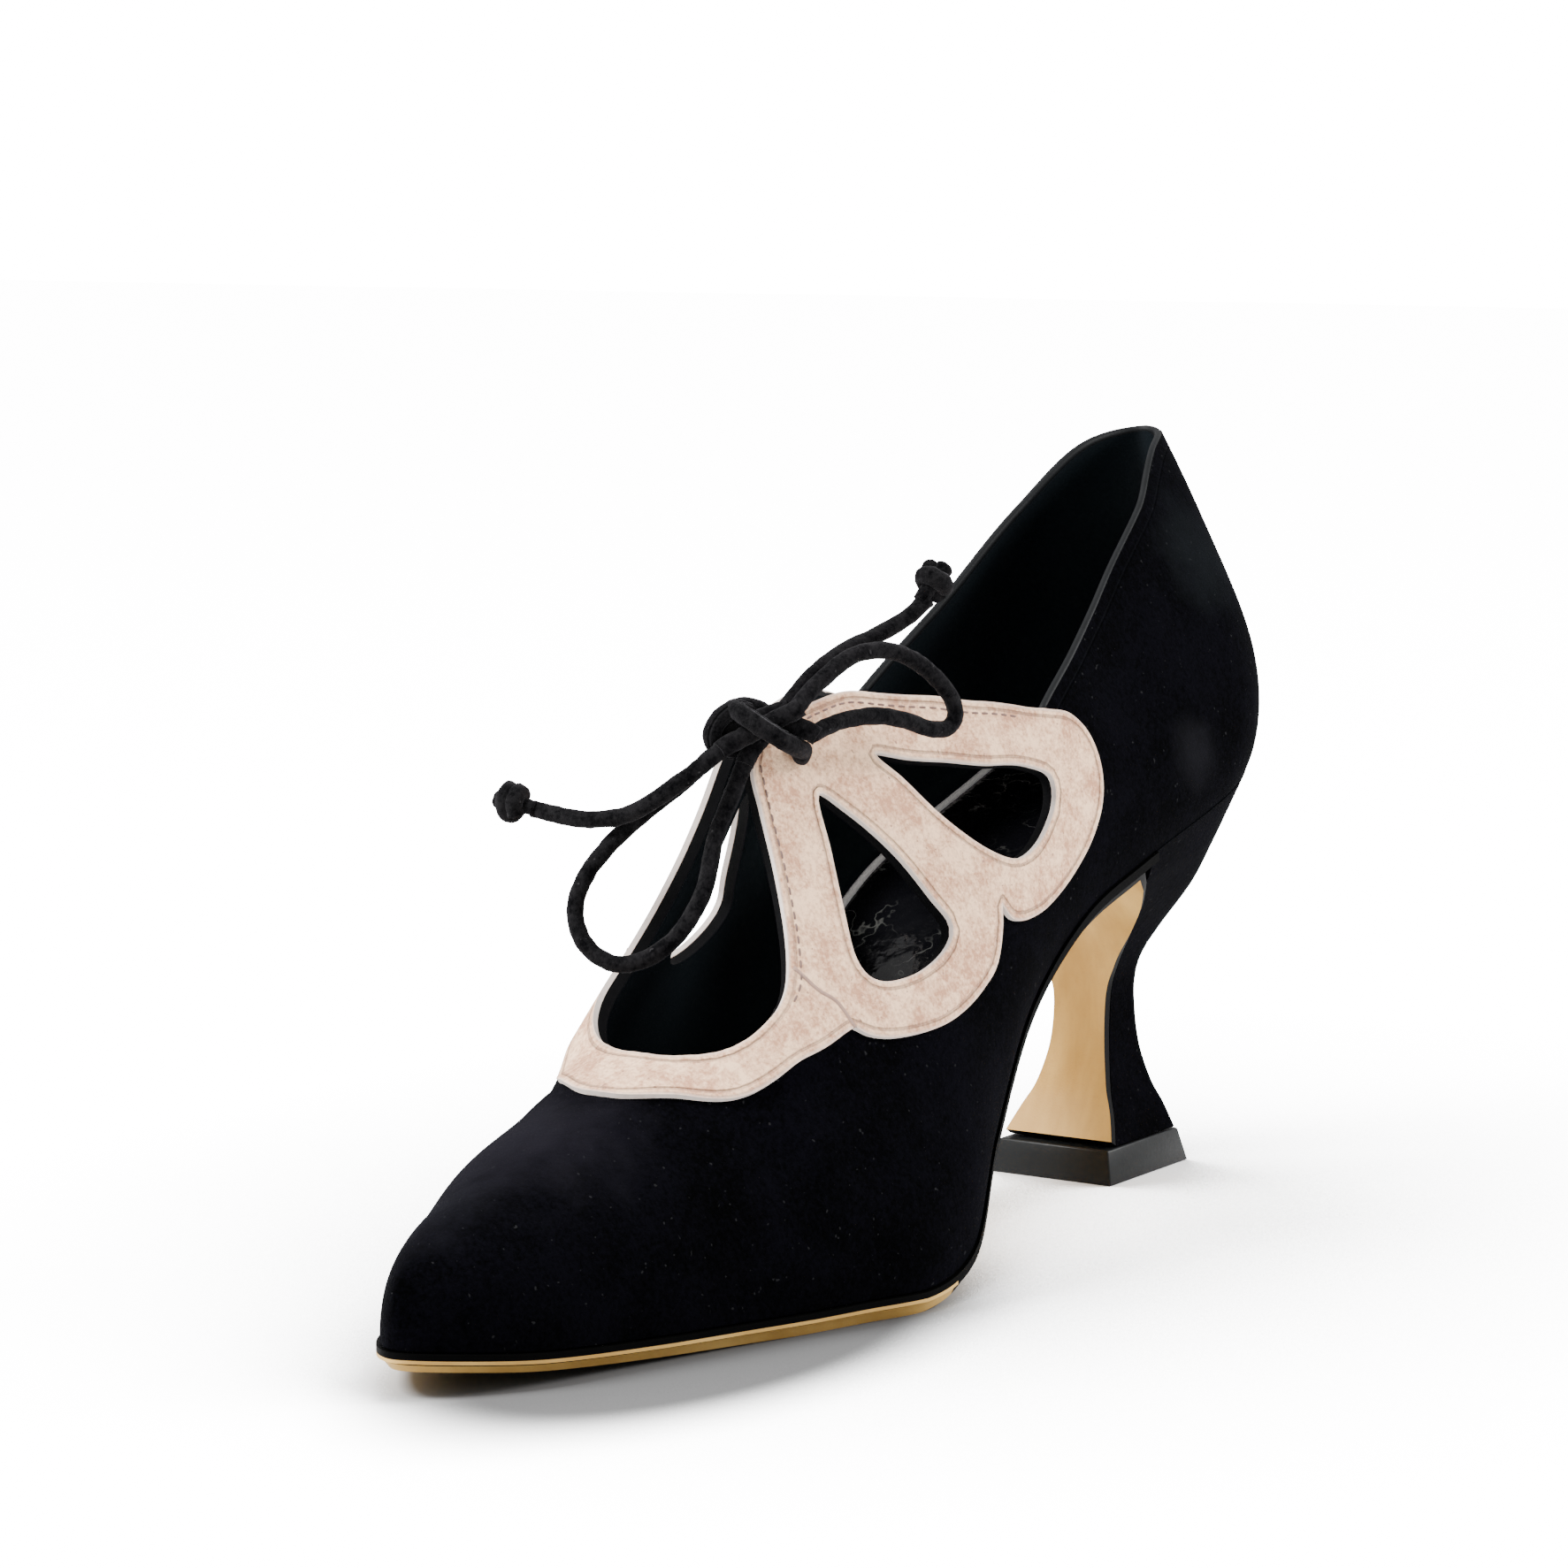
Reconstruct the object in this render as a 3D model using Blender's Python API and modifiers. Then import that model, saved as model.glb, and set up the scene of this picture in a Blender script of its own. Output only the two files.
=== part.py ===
"""Heeled derby shoe for the left foot, with laced petal wings and a waisted heel.

The frame: the origin is the middle of the heel's tread on the floor, the toe points
along -Y, the wearer's left is +X and up is +Z. All sizes are in metres.
"""

from collections import namedtuple
from math import cos, pi, sin

import bmesh
import bpy
import numpy as np
from mathutils import Matrix, Vector
from mathutils.geometry import delaunay_2d_cdt

# Driving sizes of the last
SHOE_LENGTH = 0.2475
BALL_WIDTH = 0.075
SEAT_HEIGHT = 0.082
INSTEP_HEIGHT = 0.098
NOSE_HEIGHT = 0.007
TOE_SPRING = 0.0038
HEEL_OVERHANG = 0.034

# Thicknesses, and the clearance between neighbours
UPPER_WALL = 0.0018
OVERLAY_THICKNESS = 0.0010
INSOLE_THICKNESS = 0.0022
RAND_THICKNESS = 0.0017
OUTSOLE_THICKNESS = 0.0019
CLEARANCE = 0.0003

# Steps of the sole's edge, inwards from the edge of the last
RAND_STEP = -0.0006
OUTSOLE_STEP = 0.0002
TREAD_STEP = 0.0012

# Heel
TREAD_WIDTH = 0.027
TREAD_DEPTH = 0.030
TOP_PIECE_HEIGHT = 0.0065
TOP_PIECE_FLARE = 0.0015
SEAT_FRONT = 0.0205
BREAST_HEIGHT = 0.0615
FLAP_BEND = 0.004

# Lace
LACE_DIAMETER = 0.0030
KNOT_SIZE = (0.0150, 0.0070, 0.0078)
END_KNOT_SIZE = (0.0060, 0.0056, 0.0056)

# Worked out
SOLE_STACK = RAND_THICKNESS + OUTSOLE_THICKNESS + 2 * CLEARANCE
HEEL_BASE = TOP_PIECE_HEIGHT + CLEARANCE
HALF_TREAD = TREAD_WIDTH / 2
HALF_DEPTH = TREAD_DEPTH / 2
PATTERN_LENGTH = SHOE_LENGTH * pi / 2

# Facet sizes
GRID_STEP = 0.0070
EDGE_STEP = 0.0045
GRID_TO_EDGE = 0.6
CURVE_SAMPLES = 12
PLATE_ROWS = 44
PLATE_COLUMNS = 2
CORD_STEP = 2.2 * LACE_DIAMETER
KNOT_SEGMENTS = 14
KNOT_RINGS = 9
MERGE_DISTANCE = 0.00002
FLAT_TOLERANCE = 1e-7

# Cross-sections of the last from the back (along 0) to the toe (along 1).
# seat: share of the seat's height; spring: share of the toe spring;
# left, right: half widths, swing: sideways shift and flare: bulge, as shares of the ball's
# width; height: share of the instep's height; rise, crown: heights of the two inner
# control points as shares of the section's height; shoulder: width at the crown as a
# share of the half width.
Section = namedtuple("Section", "along seat spring left right swing height flare rise shoulder crown")
SECTIONS = [
    Section(0.00, 1.000, 0.00, 0.373, 0.360, 0.000, 0.704, 0.160, 0.31, 0.10, 1.00),
    Section(0.08, 0.936, 0.00, 0.373, 0.360, 0.000, 0.735, 0.160, 0.31, 0.10, 1.00),
    Section(0.16, 0.859, 0.00, 0.365, 0.352, 0.000, 0.776, 0.133, 0.30, 0.10, 1.00),
    Section(0.24, 0.781, 0.00, 0.349, 0.347, 0.000, 0.765, 0.120, 0.30, 0.12, 1.00),
    Section(0.32, 0.685, 0.00, 0.336, 0.344, 0.000, 0.786, 0.120, 0.30, 0.18, 1.00),
    Section(0.40, 0.505, 0.00, 0.344, 0.349, 0.000, 0.837, 0.133, 0.32, 0.24, 0.95),
    Section(0.48, 0.248, 0.00, 0.404, 0.380, 0.000, 0.908, 0.107, 0.31, 0.26, 0.87),
    Section(0.56, 0.046, 0.00, 0.501, 0.443, 0.000, 1.000, 0.053, 0.29, 0.24, 0.76),
    Section(0.62, 0.000, 0.00, 0.505, 0.483, 0.000, 1.000, 0.040, 0.27, 0.24, 0.64),
    Section(0.67, 0.000, 0.00, 0.448, 0.483, 0.000, 0.735, 0.040, 0.32, 0.42, 0.78),
    Section(0.71, 0.000, 0.00, 0.405, 0.464, 0.000, 0.480, 0.027, 0.38, 0.62, 0.95),
    Section(0.76, 0.000, 0.03, 0.357, 0.421, -0.013, 0.387, 0.013, 0.42, 0.66, 1.00),
    Section(0.84, 0.000, 0.16, 0.285, 0.342, -0.027, 0.311, 0.013, 0.45, 0.70, 1.00),
    Section(0.92, 0.000, 0.47, 0.211, 0.211, -0.035, 0.227, 0.000, 0.45, 0.74, 0.98),
    Section(1.00, 0.000, 1.00, 0.113, 0.115, -0.040, 0.168, 0.000, 0.45, 0.78, 0.94),
]
HEEL_ROUND = 0.13
COLLAR_ROUND = 0.07
NOSE_ROUND = 0.08

# The back's curve: height up the counter, and how far it leans back, as shares of the
# instep's height. It fades out along the shoe by BACK_FADE, with the power FADE_POWER.
BACK_CURVE = [(0.0, 0.0), (0.21, -0.008), (0.42, -0.076), (0.63, -0.130), (0.84, -0.235)]
BACK_FADE = 0.30
FADE_POWER = 1.5

# Outlines on the last. Each row is how far along the shoe, and how far up from the
# feather edge to the ridge.
COLLAR = [(0.000, 0.727), (0.059, 0.714), (0.139, 0.604), (0.206, 0.548), (0.248, 0.509),
          (0.301, 0.460), (0.345, 0.437)]
WING_TOP = [(0.345, 0.437), (0.373, 0.488), (0.416, 0.589), (0.451, 0.699), (0.486, 0.803),
            (0.516, 0.877), (0.550, 0.915), (0.585, 0.935), (0.612, 0.935)]
THROAT = [(0.612, 0.935), (0.626, 0.912), (0.630, 0.850), (0.636, 0.775), (0.647, 0.701),
          (0.660, 0.655), (0.672, 0.645), (0.684, 0.663), (0.699, 0.713), (0.718, 0.815),
          (0.733, 0.925), (0.736, 1.000)]
BAND_LINE = [(0.780, 1.000), (0.778, 0.930), (0.768, 0.850), (0.745, 0.727), (0.712, 0.630),
             (0.688, 0.560), (0.659, 0.508), (0.628, 0.489)]
LOWER_PETAL = [(0.628, 0.489), (0.616, 0.460), (0.598, 0.430), (0.567, 0.390), (0.533, 0.350),
               (0.496, 0.310), (0.472, 0.294), (0.457, 0.312), (0.451, 0.336)]
UPPER_PETAL = [(0.451, 0.336), (0.443, 0.292), (0.425, 0.242), (0.397, 0.192), (0.363, 0.166),
               (0.331, 0.174), (0.309, 0.215), (0.301, 0.275), (0.306, 0.340), (0.323, 0.398),
               (0.345, 0.437)]
UPPER_HOLE = [(0.514, 0.740), (0.487, 0.672), (0.461, 0.603), (0.423, 0.494), (0.385, 0.408),
              (0.363, 0.350), (0.368, 0.308), (0.394, 0.299), (0.422, 0.336), (0.450, 0.425),
              (0.480, 0.555), (0.500, 0.665)]
LOWER_HOLE = [(0.577, 0.783), (0.556, 0.712), (0.534, 0.607), (0.518, 0.505), (0.508, 0.440),
              (0.522, 0.432), (0.562, 0.468), (0.592, 0.510), (0.602, 0.560), (0.595, 0.630),
              (0.586, 0.705)]

# Rows of the heel from the top piece up to the seat. half: half width as a share of the
# tread's half width; front, back: places along the shoe as shares of the same; front_up,
# back_up: share of the way from the top piece to the breast's top and the seat's back;
# round: how much of the half width the back corners round off. A corner is CORNER_LENGTH
# times as long as it is wide, and no longer than CORNER_DEPTH of the heel's depth.
HeelRow = namedtuple("HeelRow", "half front back front_up back_up round")
HEEL_ROWS = [
    HeelRow(0.87, -0.73, 0.99, 0.000, 0.000, 0.08),
    HeelRow(0.73, -0.53, 0.93, 0.086, 0.063, 0.12),
    HeelRow(0.58, -0.37, 0.86, 0.168, 0.124, 0.22),
    HeelRow(0.46, -0.21, 0.78, 0.296, 0.218, 0.40),
    HeelRow(0.42, -0.14, 0.74, 0.424, 0.312, 0.50),
    HeelRow(0.45, -0.13, 0.74, 0.534, 0.393, 0.60),
    HeelRow(0.60, -0.20, 0.83, 0.626, 0.460, 0.75),
    HeelRow(0.90, -0.39, 1.15, 0.742, 0.542, 0.90),
    HeelRow(1.38, -0.89, 1.62, 0.874, 0.665, 0.96),
    HeelRow(1.74, -1.42, 2.10, 0.975, 0.820, 0.98),
]
CORNER_DEPTH = 0.60
CORNER_LENGTH = 1.25
HEEL_LEVELS = 22
SIDE_POINTS = 4
CORNER_POINTS = 7

# Base colour and roughness of each material
MATERIALS = {
    "black suede": ((0.012, 0.012, 0.014), 0.95),
    "blush suede": ((0.62, 0.47, 0.42), 0.90),
    "glossy black leather": ((0.006, 0.006, 0.008), 0.22),
    "beige sole leather": ((0.66, 0.48, 0.28), 0.45),
    "black edge ink": ((0.015, 0.015, 0.016), 0.40),
    "dark top piece": ((0.020, 0.021, 0.023), 0.35),
    "black cord": ((0.010, 0.010, 0.012), 0.90),
}

# Routes of the lace, through points chosen by hand
KNOT_TURN = 0.59
KNOT_CENTRE = (0.0053, -0.1222, 0.0982)
CROSSING = [(0.0094, -0.1140, 0.0915), (0.0078, -0.1155, 0.0960), (0.0042, -0.1170, 0.1003),
            (0.0000, -0.1172, 0.1015), (-0.0042, -0.1165, 0.1003), (-0.0078, -0.1150, 0.0960),
            (-0.0094, -0.1135, 0.0915)]
LOOP_A = [(0.0108, -0.1186, 0.1014), (0.0117, -0.1135, 0.1052), (0.0140, -0.1065, 0.1095),
          (0.0160, -0.1020, 0.1105), (0.0180, -0.0970, 0.1098), (0.0197, -0.0915, 0.1070),
          (0.0213, -0.0865, 0.1025), (0.0217, -0.0840, 0.0985), (0.0210, -0.0855, 0.0957),
          (0.0197, -0.0900, 0.0960), (0.0185, -0.0950, 0.0978), (0.0168, -0.1020, 0.0992),
          (0.0145, -0.1100, 0.0990), (0.0127, -0.1165, 0.0971)]
LOOP_B = [(0.0000, -0.1247, 0.0951), (-0.0065, -0.1283, 0.0885), (-0.0140, -0.1325, 0.0815),
          (-0.0190, -0.1368, 0.0745), (-0.0205, -0.1395, 0.0680), (-0.0180, -0.1408, 0.0622),
          (-0.0125, -0.1400, 0.0588), (-0.0070, -0.1378, 0.0597), (-0.0022, -0.1345, 0.0642),
          (0.0000, -0.1305, 0.0710), (0.0005, -0.1275, 0.0800), (0.0022, -0.1250, 0.0870),
          (0.0040, -0.1235, 0.0930)]
END_A = [(0.0020, -0.1276, 0.0952), (-0.0025, -0.1318, 0.0905), (-0.0075, -0.1345, 0.0865),
         (-0.0125, -0.1355, 0.0838), (-0.0185, -0.1358, 0.0826), (-0.0245, -0.1360, 0.0826),
         (-0.0316, -0.1364, 0.0836)]
END_A_KNOT = (-0.0350, -0.1375, 0.0845)
END_B = [(0.0078, -0.1172, 0.1012), (0.0090, -0.1100, 0.1050), (0.0106, -0.1020, 0.1085),
         (0.0126, -0.0950, 0.1114), (0.0148, -0.0892, 0.1146), (0.0167, -0.0853, 0.1181)]
END_B_KNOT = (0.0173, -0.0838, 0.1212)


def clear_scene():
    """Remove what the scene holds."""
    for item in list(bpy.data.objects):
        bpy.data.objects.remove(item, do_unlink=True)


def make_material(name):
    """A plain Principled material of the table."""
    colour, roughness = MATERIALS[name]
    material = bpy.data.materials.new(name)
    material.use_nodes = True
    shader = material.node_tree.nodes["Principled BSDF"]
    shader.inputs["Base Color"].default_value = (*colour, 1.0)
    shader.inputs["Roughness"].default_value = roughness
    return material


def smooth(rows, place):
    """Smooth curve through rows of (place, value), read at one or many places."""
    xs = np.array([row[0] for row in rows], float)
    ys = np.array([row[1] for row in rows], float)
    widths = np.diff(xs)
    slopes = np.diff(ys) / widths
    tangents = np.empty_like(ys)
    tangents[0] = slopes[0]
    tangents[-1] = slopes[-1]
    tangents[1:-1] = (slopes[1:] * widths[:-1] + slopes[:-1] * widths[1:]) / (xs[2:] - xs[:-2])
    place = np.clip(place, xs[0], xs[-1])
    k = np.clip(np.searchsorted(xs, place) - 1, 0, len(xs) - 2)
    width = widths[k]
    f = (place - xs[k]) / width
    start = (2 * f**3 - 3 * f**2 + 1) * ys[k] + (f**3 - 2 * f**2 + f) * width * tangents[k]
    end = (-2 * f**3 + 3 * f**2) * ys[k + 1] + (f**3 - f**2) * width * tangents[k + 1]
    return start + end


def section_value(name, along):
    """One column of the section table, read along the shoe."""
    return smooth([(row.along, getattr(row, name)) for row in SECTIONS], along)


def rounding(along, up):
    """How far the plan and the profile are closed at the back and at the nose."""
    back = np.minimum(1.0, along / (HEEL_ROUND + (COLLAR_ROUND - HEEL_ROUND) * up))
    nose = np.minimum(1.0, (1.0 - along) / NOSE_ROUND)
    return np.sqrt(1.0 - (1.0 - back) ** 2), np.sqrt(1.0 - (1.0 - nose) ** 2)


def feather_height(along):
    """Height of the last's lower edge over the floor."""
    seat = np.maximum(0.0, section_value("seat", along)) * (SEAT_HEIGHT - SOLE_STACK)
    spring = np.maximum(0.0, section_value("spring", along)) * TOE_SPRING
    return SOLE_STACK + seat + spring


def last_point(along, up, side):
    """Points of the upper's outer surface; side is 1 on the left and -1 on the right."""
    along, up, side = np.broadcast_arrays(np.asarray(along, float), np.asarray(up, float),
                                          np.asarray(side, float))
    back, nose = rounding(along, up)
    closed = back * nose
    half = np.where(side > 0, section_value("left", along), section_value("right", along))
    half = half * BALL_WIDTH * closed
    bulge = section_value("flare", along) * BALL_WIDTH * closed
    height = section_value("height", along) * INSTEP_HEIGHT
    height = NOSE_HEIGHT + (height - NOSE_HEIGHT) * nose
    b0 = (1 - up) ** 3
    b1 = 3 * up * (1 - up) ** 2
    b2 = 3 * up**2 * (1 - up)
    b3 = up**3
    across = b0 * half + b1 * (half + bulge) + b2 * half * section_value("shoulder", along)
    lift = height * (b1 * section_value("rise", along) + b2 * section_value("crown", along) + b3)
    fade = np.clip(1.0 - along / BACK_FADE, 0.0, 1.0) ** FADE_POWER
    lean = smooth(BACK_CURVE, lift / INSTEP_HEIGHT) * INSTEP_HEIGHT * fade
    x = section_value("swing", along) * BALL_WIDTH + side * across
    y = HEEL_OVERHANG - along * SHOE_LENGTH + lean
    return np.stack([x, y, feather_height(along) + lift], axis=-1)


def share_at(y):
    """Share along the shoe at a place y on its bottom."""
    return np.clip((HEEL_OVERHANG - y) / SHOE_LENGTH, 0.0, 1.0)


# The pattern: a half of the upper laid flat, with x from the back to the toe and y from the
# feather edge to the ridge, both near real lengths, so that facets come out even.

def to_pattern(rows):
    """Rows of (along, up) as points of the flat pattern."""
    rows = np.asarray(rows, float)
    turn = np.arccos(1.0 - 2.0 * np.clip(rows[:, 0], 0.0, 1.0)) / pi
    return np.stack([turn * PATTERN_LENGTH, rows[:, 1] * INSTEP_HEIGHT], axis=-1)


def from_pattern(points):
    """Shares along and up of points of the flat pattern."""
    points = np.asarray(points, float)
    along = (1.0 - np.cos(points[:, 0] / PATTERN_LENGTH * pi)) / 2.0
    return np.clip(along, 0.0, 1.0), np.clip(points[:, 1] / INSTEP_HEIGHT, 0.0, 1.0)


def curve_through(points, closed=False, step=EDGE_STEP):
    """Points at even steps on a smooth curve through the given ones."""
    points = np.asarray(points, float)
    count = len(points)
    spans = count if closed else count - 1
    dense = []
    for k in range(spans):
        if closed:
            a, b, c, d = (points[(k + j) % count] for j in (-1, 0, 1, 2))
        else:
            b, c = points[k], points[k + 1]
            a = points[k - 1] if k else 2 * b - c
            d = points[k + 2] if k + 2 < count else 2 * c - b
        for f in np.linspace(0.0, 1.0, CURVE_SAMPLES, endpoint=False):
            dense.append(0.5 * (2 * b + (c - a) * f + (2 * a - 5 * b + 4 * c - d) * f**2
                                + (3 * b - a - 3 * c + d) * f**3))
    dense.append(points[0] if closed else points[-1])
    dense = np.array(dense)
    run = np.concatenate([[0.0], np.cumsum(np.linalg.norm(np.diff(dense, axis=0), axis=1))])
    pieces = max(2, round(run[-1] / step))
    places = np.linspace(0.0, run[-1], pieces + 1)
    even = np.stack([np.interp(places, run, dense[:, j]) for j in range(dense.shape[1])], axis=-1)
    return even[:-1] if closed else even


def straight(start, end, step=EDGE_STEP):
    """Even points from start to end, both rows of (along, up)."""
    start, end = to_pattern([start, end])
    pieces = max(2, round(float(np.linalg.norm(end - start)) / step))
    return np.linspace(start, end, pieces + 1)


def inside(point, loop):
    """Whether a point lies in a closed loop of points."""
    following = np.roll(loop, -1, axis=0)
    spans = (loop[:, 1] > point[1]) != (following[:, 1] > point[1])
    drop = np.where(following[:, 1] == loop[:, 1], 1.0, following[:, 1] - loop[:, 1])
    crossing = (following[:, 0] - loop[:, 0]) * (point[1] - loop[:, 1]) / drop + loop[:, 0]
    return np.count_nonzero(spans & (point[0] < crossing)) % 2 == 1


def join(*runs):
    """One run of points out of several that meet end to end."""
    return np.concatenate([run[:-1] for run in runs[:-1]] + [runs[-1]])


def half_pattern():
    """Triangles of half the upper, with the ones under the overlay marked."""
    collar = curve_through(to_pattern(COLLAR))
    wing_top = curve_through(to_pattern(WING_TOP))
    throat = curve_through(to_pattern(THROAT))
    petals = join(curve_through(to_pattern(BAND_LINE)), curve_through(to_pattern(LOWER_PETAL)),
                  curve_through(to_pattern(UPPER_PETAL)))
    band_ridge = straight(THROAT[-1], BAND_LINE[0])
    toe_ridge = straight(BAND_LINE[0], (1.0, 1.0))
    nose = straight((1.0, 1.0), (1.0, 0.0), step=3 * EDGE_STEP)
    feather = straight((1.0, 0.0), (0.0, 0.0), step=GRID_STEP)
    back_seam = straight((0.0, 0.0), COLLAR[0])
    edge = join(collar, wing_top, throat, band_ridge, toe_ridge, nose, feather, back_seam)[:-1]
    overlay = join(wing_top, throat, band_ridge, petals)[:-1]
    holes = [curve_through(to_pattern(rows), closed=True) for rows in (UPPER_HOLE, LOWER_HOLE)]

    points = [tuple(point) for point in edge]
    lines = [(k, (k + 1) % len(edge)) for k in range(len(edge))]
    for hole in holes:
        first = len(points)
        points += [tuple(point) for point in hole]
        lines += [(first + k, first + (k + 1) % len(hole)) for k in range(len(hole))]
    first = len(points)
    points += [tuple(point) for point in petals]
    lines += [(first + k, first + k + 1) for k in range(len(petals) - 1)]

    outlines = np.array(points)
    columns = round(PATTERN_LENGTH / GRID_STEP)
    rows = round(INSTEP_HEIGHT / GRID_STEP)
    for x in np.linspace(0.0, PATTERN_LENGTH, columns + 1)[1:-1]:
        for y in np.linspace(0.0, INSTEP_HEIGHT, rows + 1)[1:-1]:
            near = np.min(np.hypot(outlines[:, 0] - x, outlines[:, 1] - y))
            if near > GRID_TO_EDGE * EDGE_STEP:
                points.append((x, y))

    flat = [Vector(point) for point in points]
    places, _, faces, *_ = delaunay_2d_cdt(flat, lines, [], 0, FLAT_TOLERANCE)
    places = np.array([tuple(place) for place in places])
    triangles = []
    for face in faces:
        middle = places[list(face)].mean(axis=0)
        if inside(middle, edge) and not any(inside(middle, hole) for hole in holes):
            triangles.append((tuple(face), inside(middle, overlay)))
    return places, triangles


def upper_shell():
    """The upper's outer surface, both halves joined, and its faces under the overlay."""
    places, triangles = half_pattern()
    along, up = from_pattern(places)
    shell = bmesh.new()
    mark = shell.faces.layers.int.new("overlay")
    for side in (1, -1):
        corners = [shell.verts.new(point) for point in last_point(along, up, side)]
        for face, covered in triangles:
            order = reversed(face) if side > 0 else face
            made = shell.faces.new([corners[k] for k in order])
            made[mark] = int(covered)
    loose = [corner for corner in shell.verts if not corner.link_faces]
    bmesh.ops.delete(shell, geom=loose, context="VERTS")
    bmesh.ops.remove_doubles(shell, verts=shell.verts, dist=MERGE_DISTANCE)
    shell.normal_update()
    return shell, mark


def add_object(name, mesh, material, collection):
    """Put a mesh into the scene as a named object."""
    piece = bpy.data.objects.new(name, mesh)
    piece.data.materials.clear()
    piece.data.materials.append(material)
    collection.objects.link(piece)
    return piece


def solidify(piece, thickness, offset):
    """Give an open surface its wall; offset -1 grows it inwards and 1 outwards."""
    wall = piece.modifiers.new("Wall", "SOLIDIFY")
    wall.thickness = thickness
    wall.offset = offset
    wall.use_even_offset = True


def make_upper(shell, material, collection):
    """The upper, one hollow wall."""
    mesh = bpy.data.meshes.new("upper")
    shell.to_mesh(mesh)
    piece = add_object("upper", mesh, material, collection)
    solidify(piece, UPPER_WALL, -1.0)
    return piece


def make_overlay(shell, mark, material, collection):
    """The petal overlay, cut from the upper's own surface and laid over it."""
    cover = shell.copy()
    cover.faces.ensure_lookup_table()
    cover_mark = cover.faces.layers.int["overlay"]
    lifted = {corner: corner.co + corner.normal * CLEARANCE for corner in cover.verts}
    for corner, place in lifted.items():
        corner.co = place
    bare = [face for face in cover.faces if not face[cover_mark]]
    bmesh.ops.delete(cover, geom=bare, context="FACES")
    mesh = bpy.data.meshes.new("petal_overlay")
    cover.to_mesh(mesh)
    cover.free()
    piece = add_object("petal_overlay", mesh, material, collection)
    solidify(piece, OVERLAY_THICKNESS, 1.0)
    return piece


def bottom_edge(turn, side, step):
    """A point of the last's lower edge in plan, moved inwards by step."""
    nudge = 0.002
    low, high = max(0.0, turn - nudge), min(1.0, turn + nudge)
    shares = (1.0 - np.cos(np.array([low, turn, high]) * pi)) / 2.0
    line = last_point(shares, 0.0, side)
    run = line[2, :2] - line[0, :2]
    if turn <= 0.0 or turn >= 1.0:
        run = np.array([1.0 if turn >= 1.0 else -1.0, 0.0])
        run = -run * side
    run = run / np.linalg.norm(run)
    inward = np.array([run[1], -run[0]]) * side
    return line[1, :2] + inward * step


def plate_rows(first, last, step, drop):
    """Rows of points across the last's bottom, drop below its edge."""
    start, end = (np.arccos(1.0 - 2.0 * share) / pi for share in (first, last))
    rows = []
    for turn in np.linspace(start, end, PLATE_ROWS + 1):
        left = bottom_edge(turn, 1, step)
        right = bottom_edge(turn, -1, step)
        row = []
        for f in np.linspace(0.0, 1.0, PLATE_COLUMNS + 1):
            x, y = left + (right - left) * f
            row.append((x, y, float(feather_height(share_at(y))) - drop))
        rows.append(row)
    return rows


def slab(name, upper_rows, lower_rows, material, collection):
    """A closed plate between two grids of points."""
    build = bmesh.new()
    top = [[build.verts.new(point) for point in row] for row in upper_rows]
    low = [[build.verts.new(point) for point in row] for row in lower_rows]
    last_row, last_column = len(top) - 1, len(top[0]) - 1
    for r in range(last_row):
        for c in range(last_column):
            build.faces.new((top[r][c], top[r][c + 1], top[r + 1][c + 1], top[r + 1][c]))
            build.faces.new((low[r][c], low[r + 1][c], low[r + 1][c + 1], low[r][c + 1]))
        for c in (0, last_column):
            build.faces.new((top[r][c], top[r + 1][c], low[r + 1][c], low[r][c]))
    for r in (0, last_row):
        for c in range(last_column):
            build.faces.new((top[r][c], top[r][c + 1], low[r][c + 1], low[r][c]))
    return close_mesh(name, build, material, collection)


def close_mesh(name, build, material, collection):
    """Merge a built mesh, turn its faces outwards and add it as an object."""
    bmesh.ops.remove_doubles(build, verts=build.verts, dist=MERGE_DISTANCE)
    bmesh.ops.dissolve_degenerate(build, edges=build.edges, dist=MERGE_DISTANCE / 2)
    bmesh.ops.recalc_face_normals(build, faces=build.faces)
    mesh = bpy.data.meshes.new(name)
    build.to_mesh(mesh)
    build.free()
    return add_object(name, mesh, material, collection)


def make_insole(material, collection):
    """The insole, inside the upper on its lower edge."""
    step = UPPER_WALL + 2 * CLEARANCE
    top = plate_rows(0.0, 1.0, step, -CLEARANCE - INSOLE_THICKNESS)
    low = plate_rows(0.0, 1.0, step, -CLEARANCE)
    return slab("insole", top, low, material, collection)


def seat_share():
    """Share along the shoe where the heel's seat begins."""
    return float(share_at(-SEAT_FRONT - CLEARANCE))


def make_rand(material, collection):
    """The sole's inked rand, a plate between the upper and the outsole."""
    first = seat_share()
    top = plate_rows(first, 1.0, RAND_STEP, CLEARANCE)
    low = plate_rows(first, 1.0, RAND_STEP, CLEARANCE + RAND_THICKNESS)
    return slab("sole_rand", top, low, material, collection)


def heel_levels():
    """The heel's rows in metres, smoothly spaced from the top piece up to the breast's top."""
    index = range(len(HEEL_ROWS))
    levels = []
    for place in np.linspace(0.0, len(HEEL_ROWS) - 1, HEEL_LEVELS):
        value = {}
        for name in HeelRow._fields:
            rows = [(k, getattr(HEEL_ROWS[k], name)) for k in index]
            value[name] = float(smooth(rows, place))
        rise = BREAST_HEIGHT - HEEL_BASE
        back_rise = SEAT_HEIGHT - HEEL_BASE
        levels.append(HeelRow(value["half"] * HALF_TREAD, value["front"] * HALF_TREAD,
                              value["back"] * HALF_TREAD, HEEL_BASE + rise * value["front_up"],
                              HEEL_BASE + back_rise * value["back_up"], value["round"]))
    return levels


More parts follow.
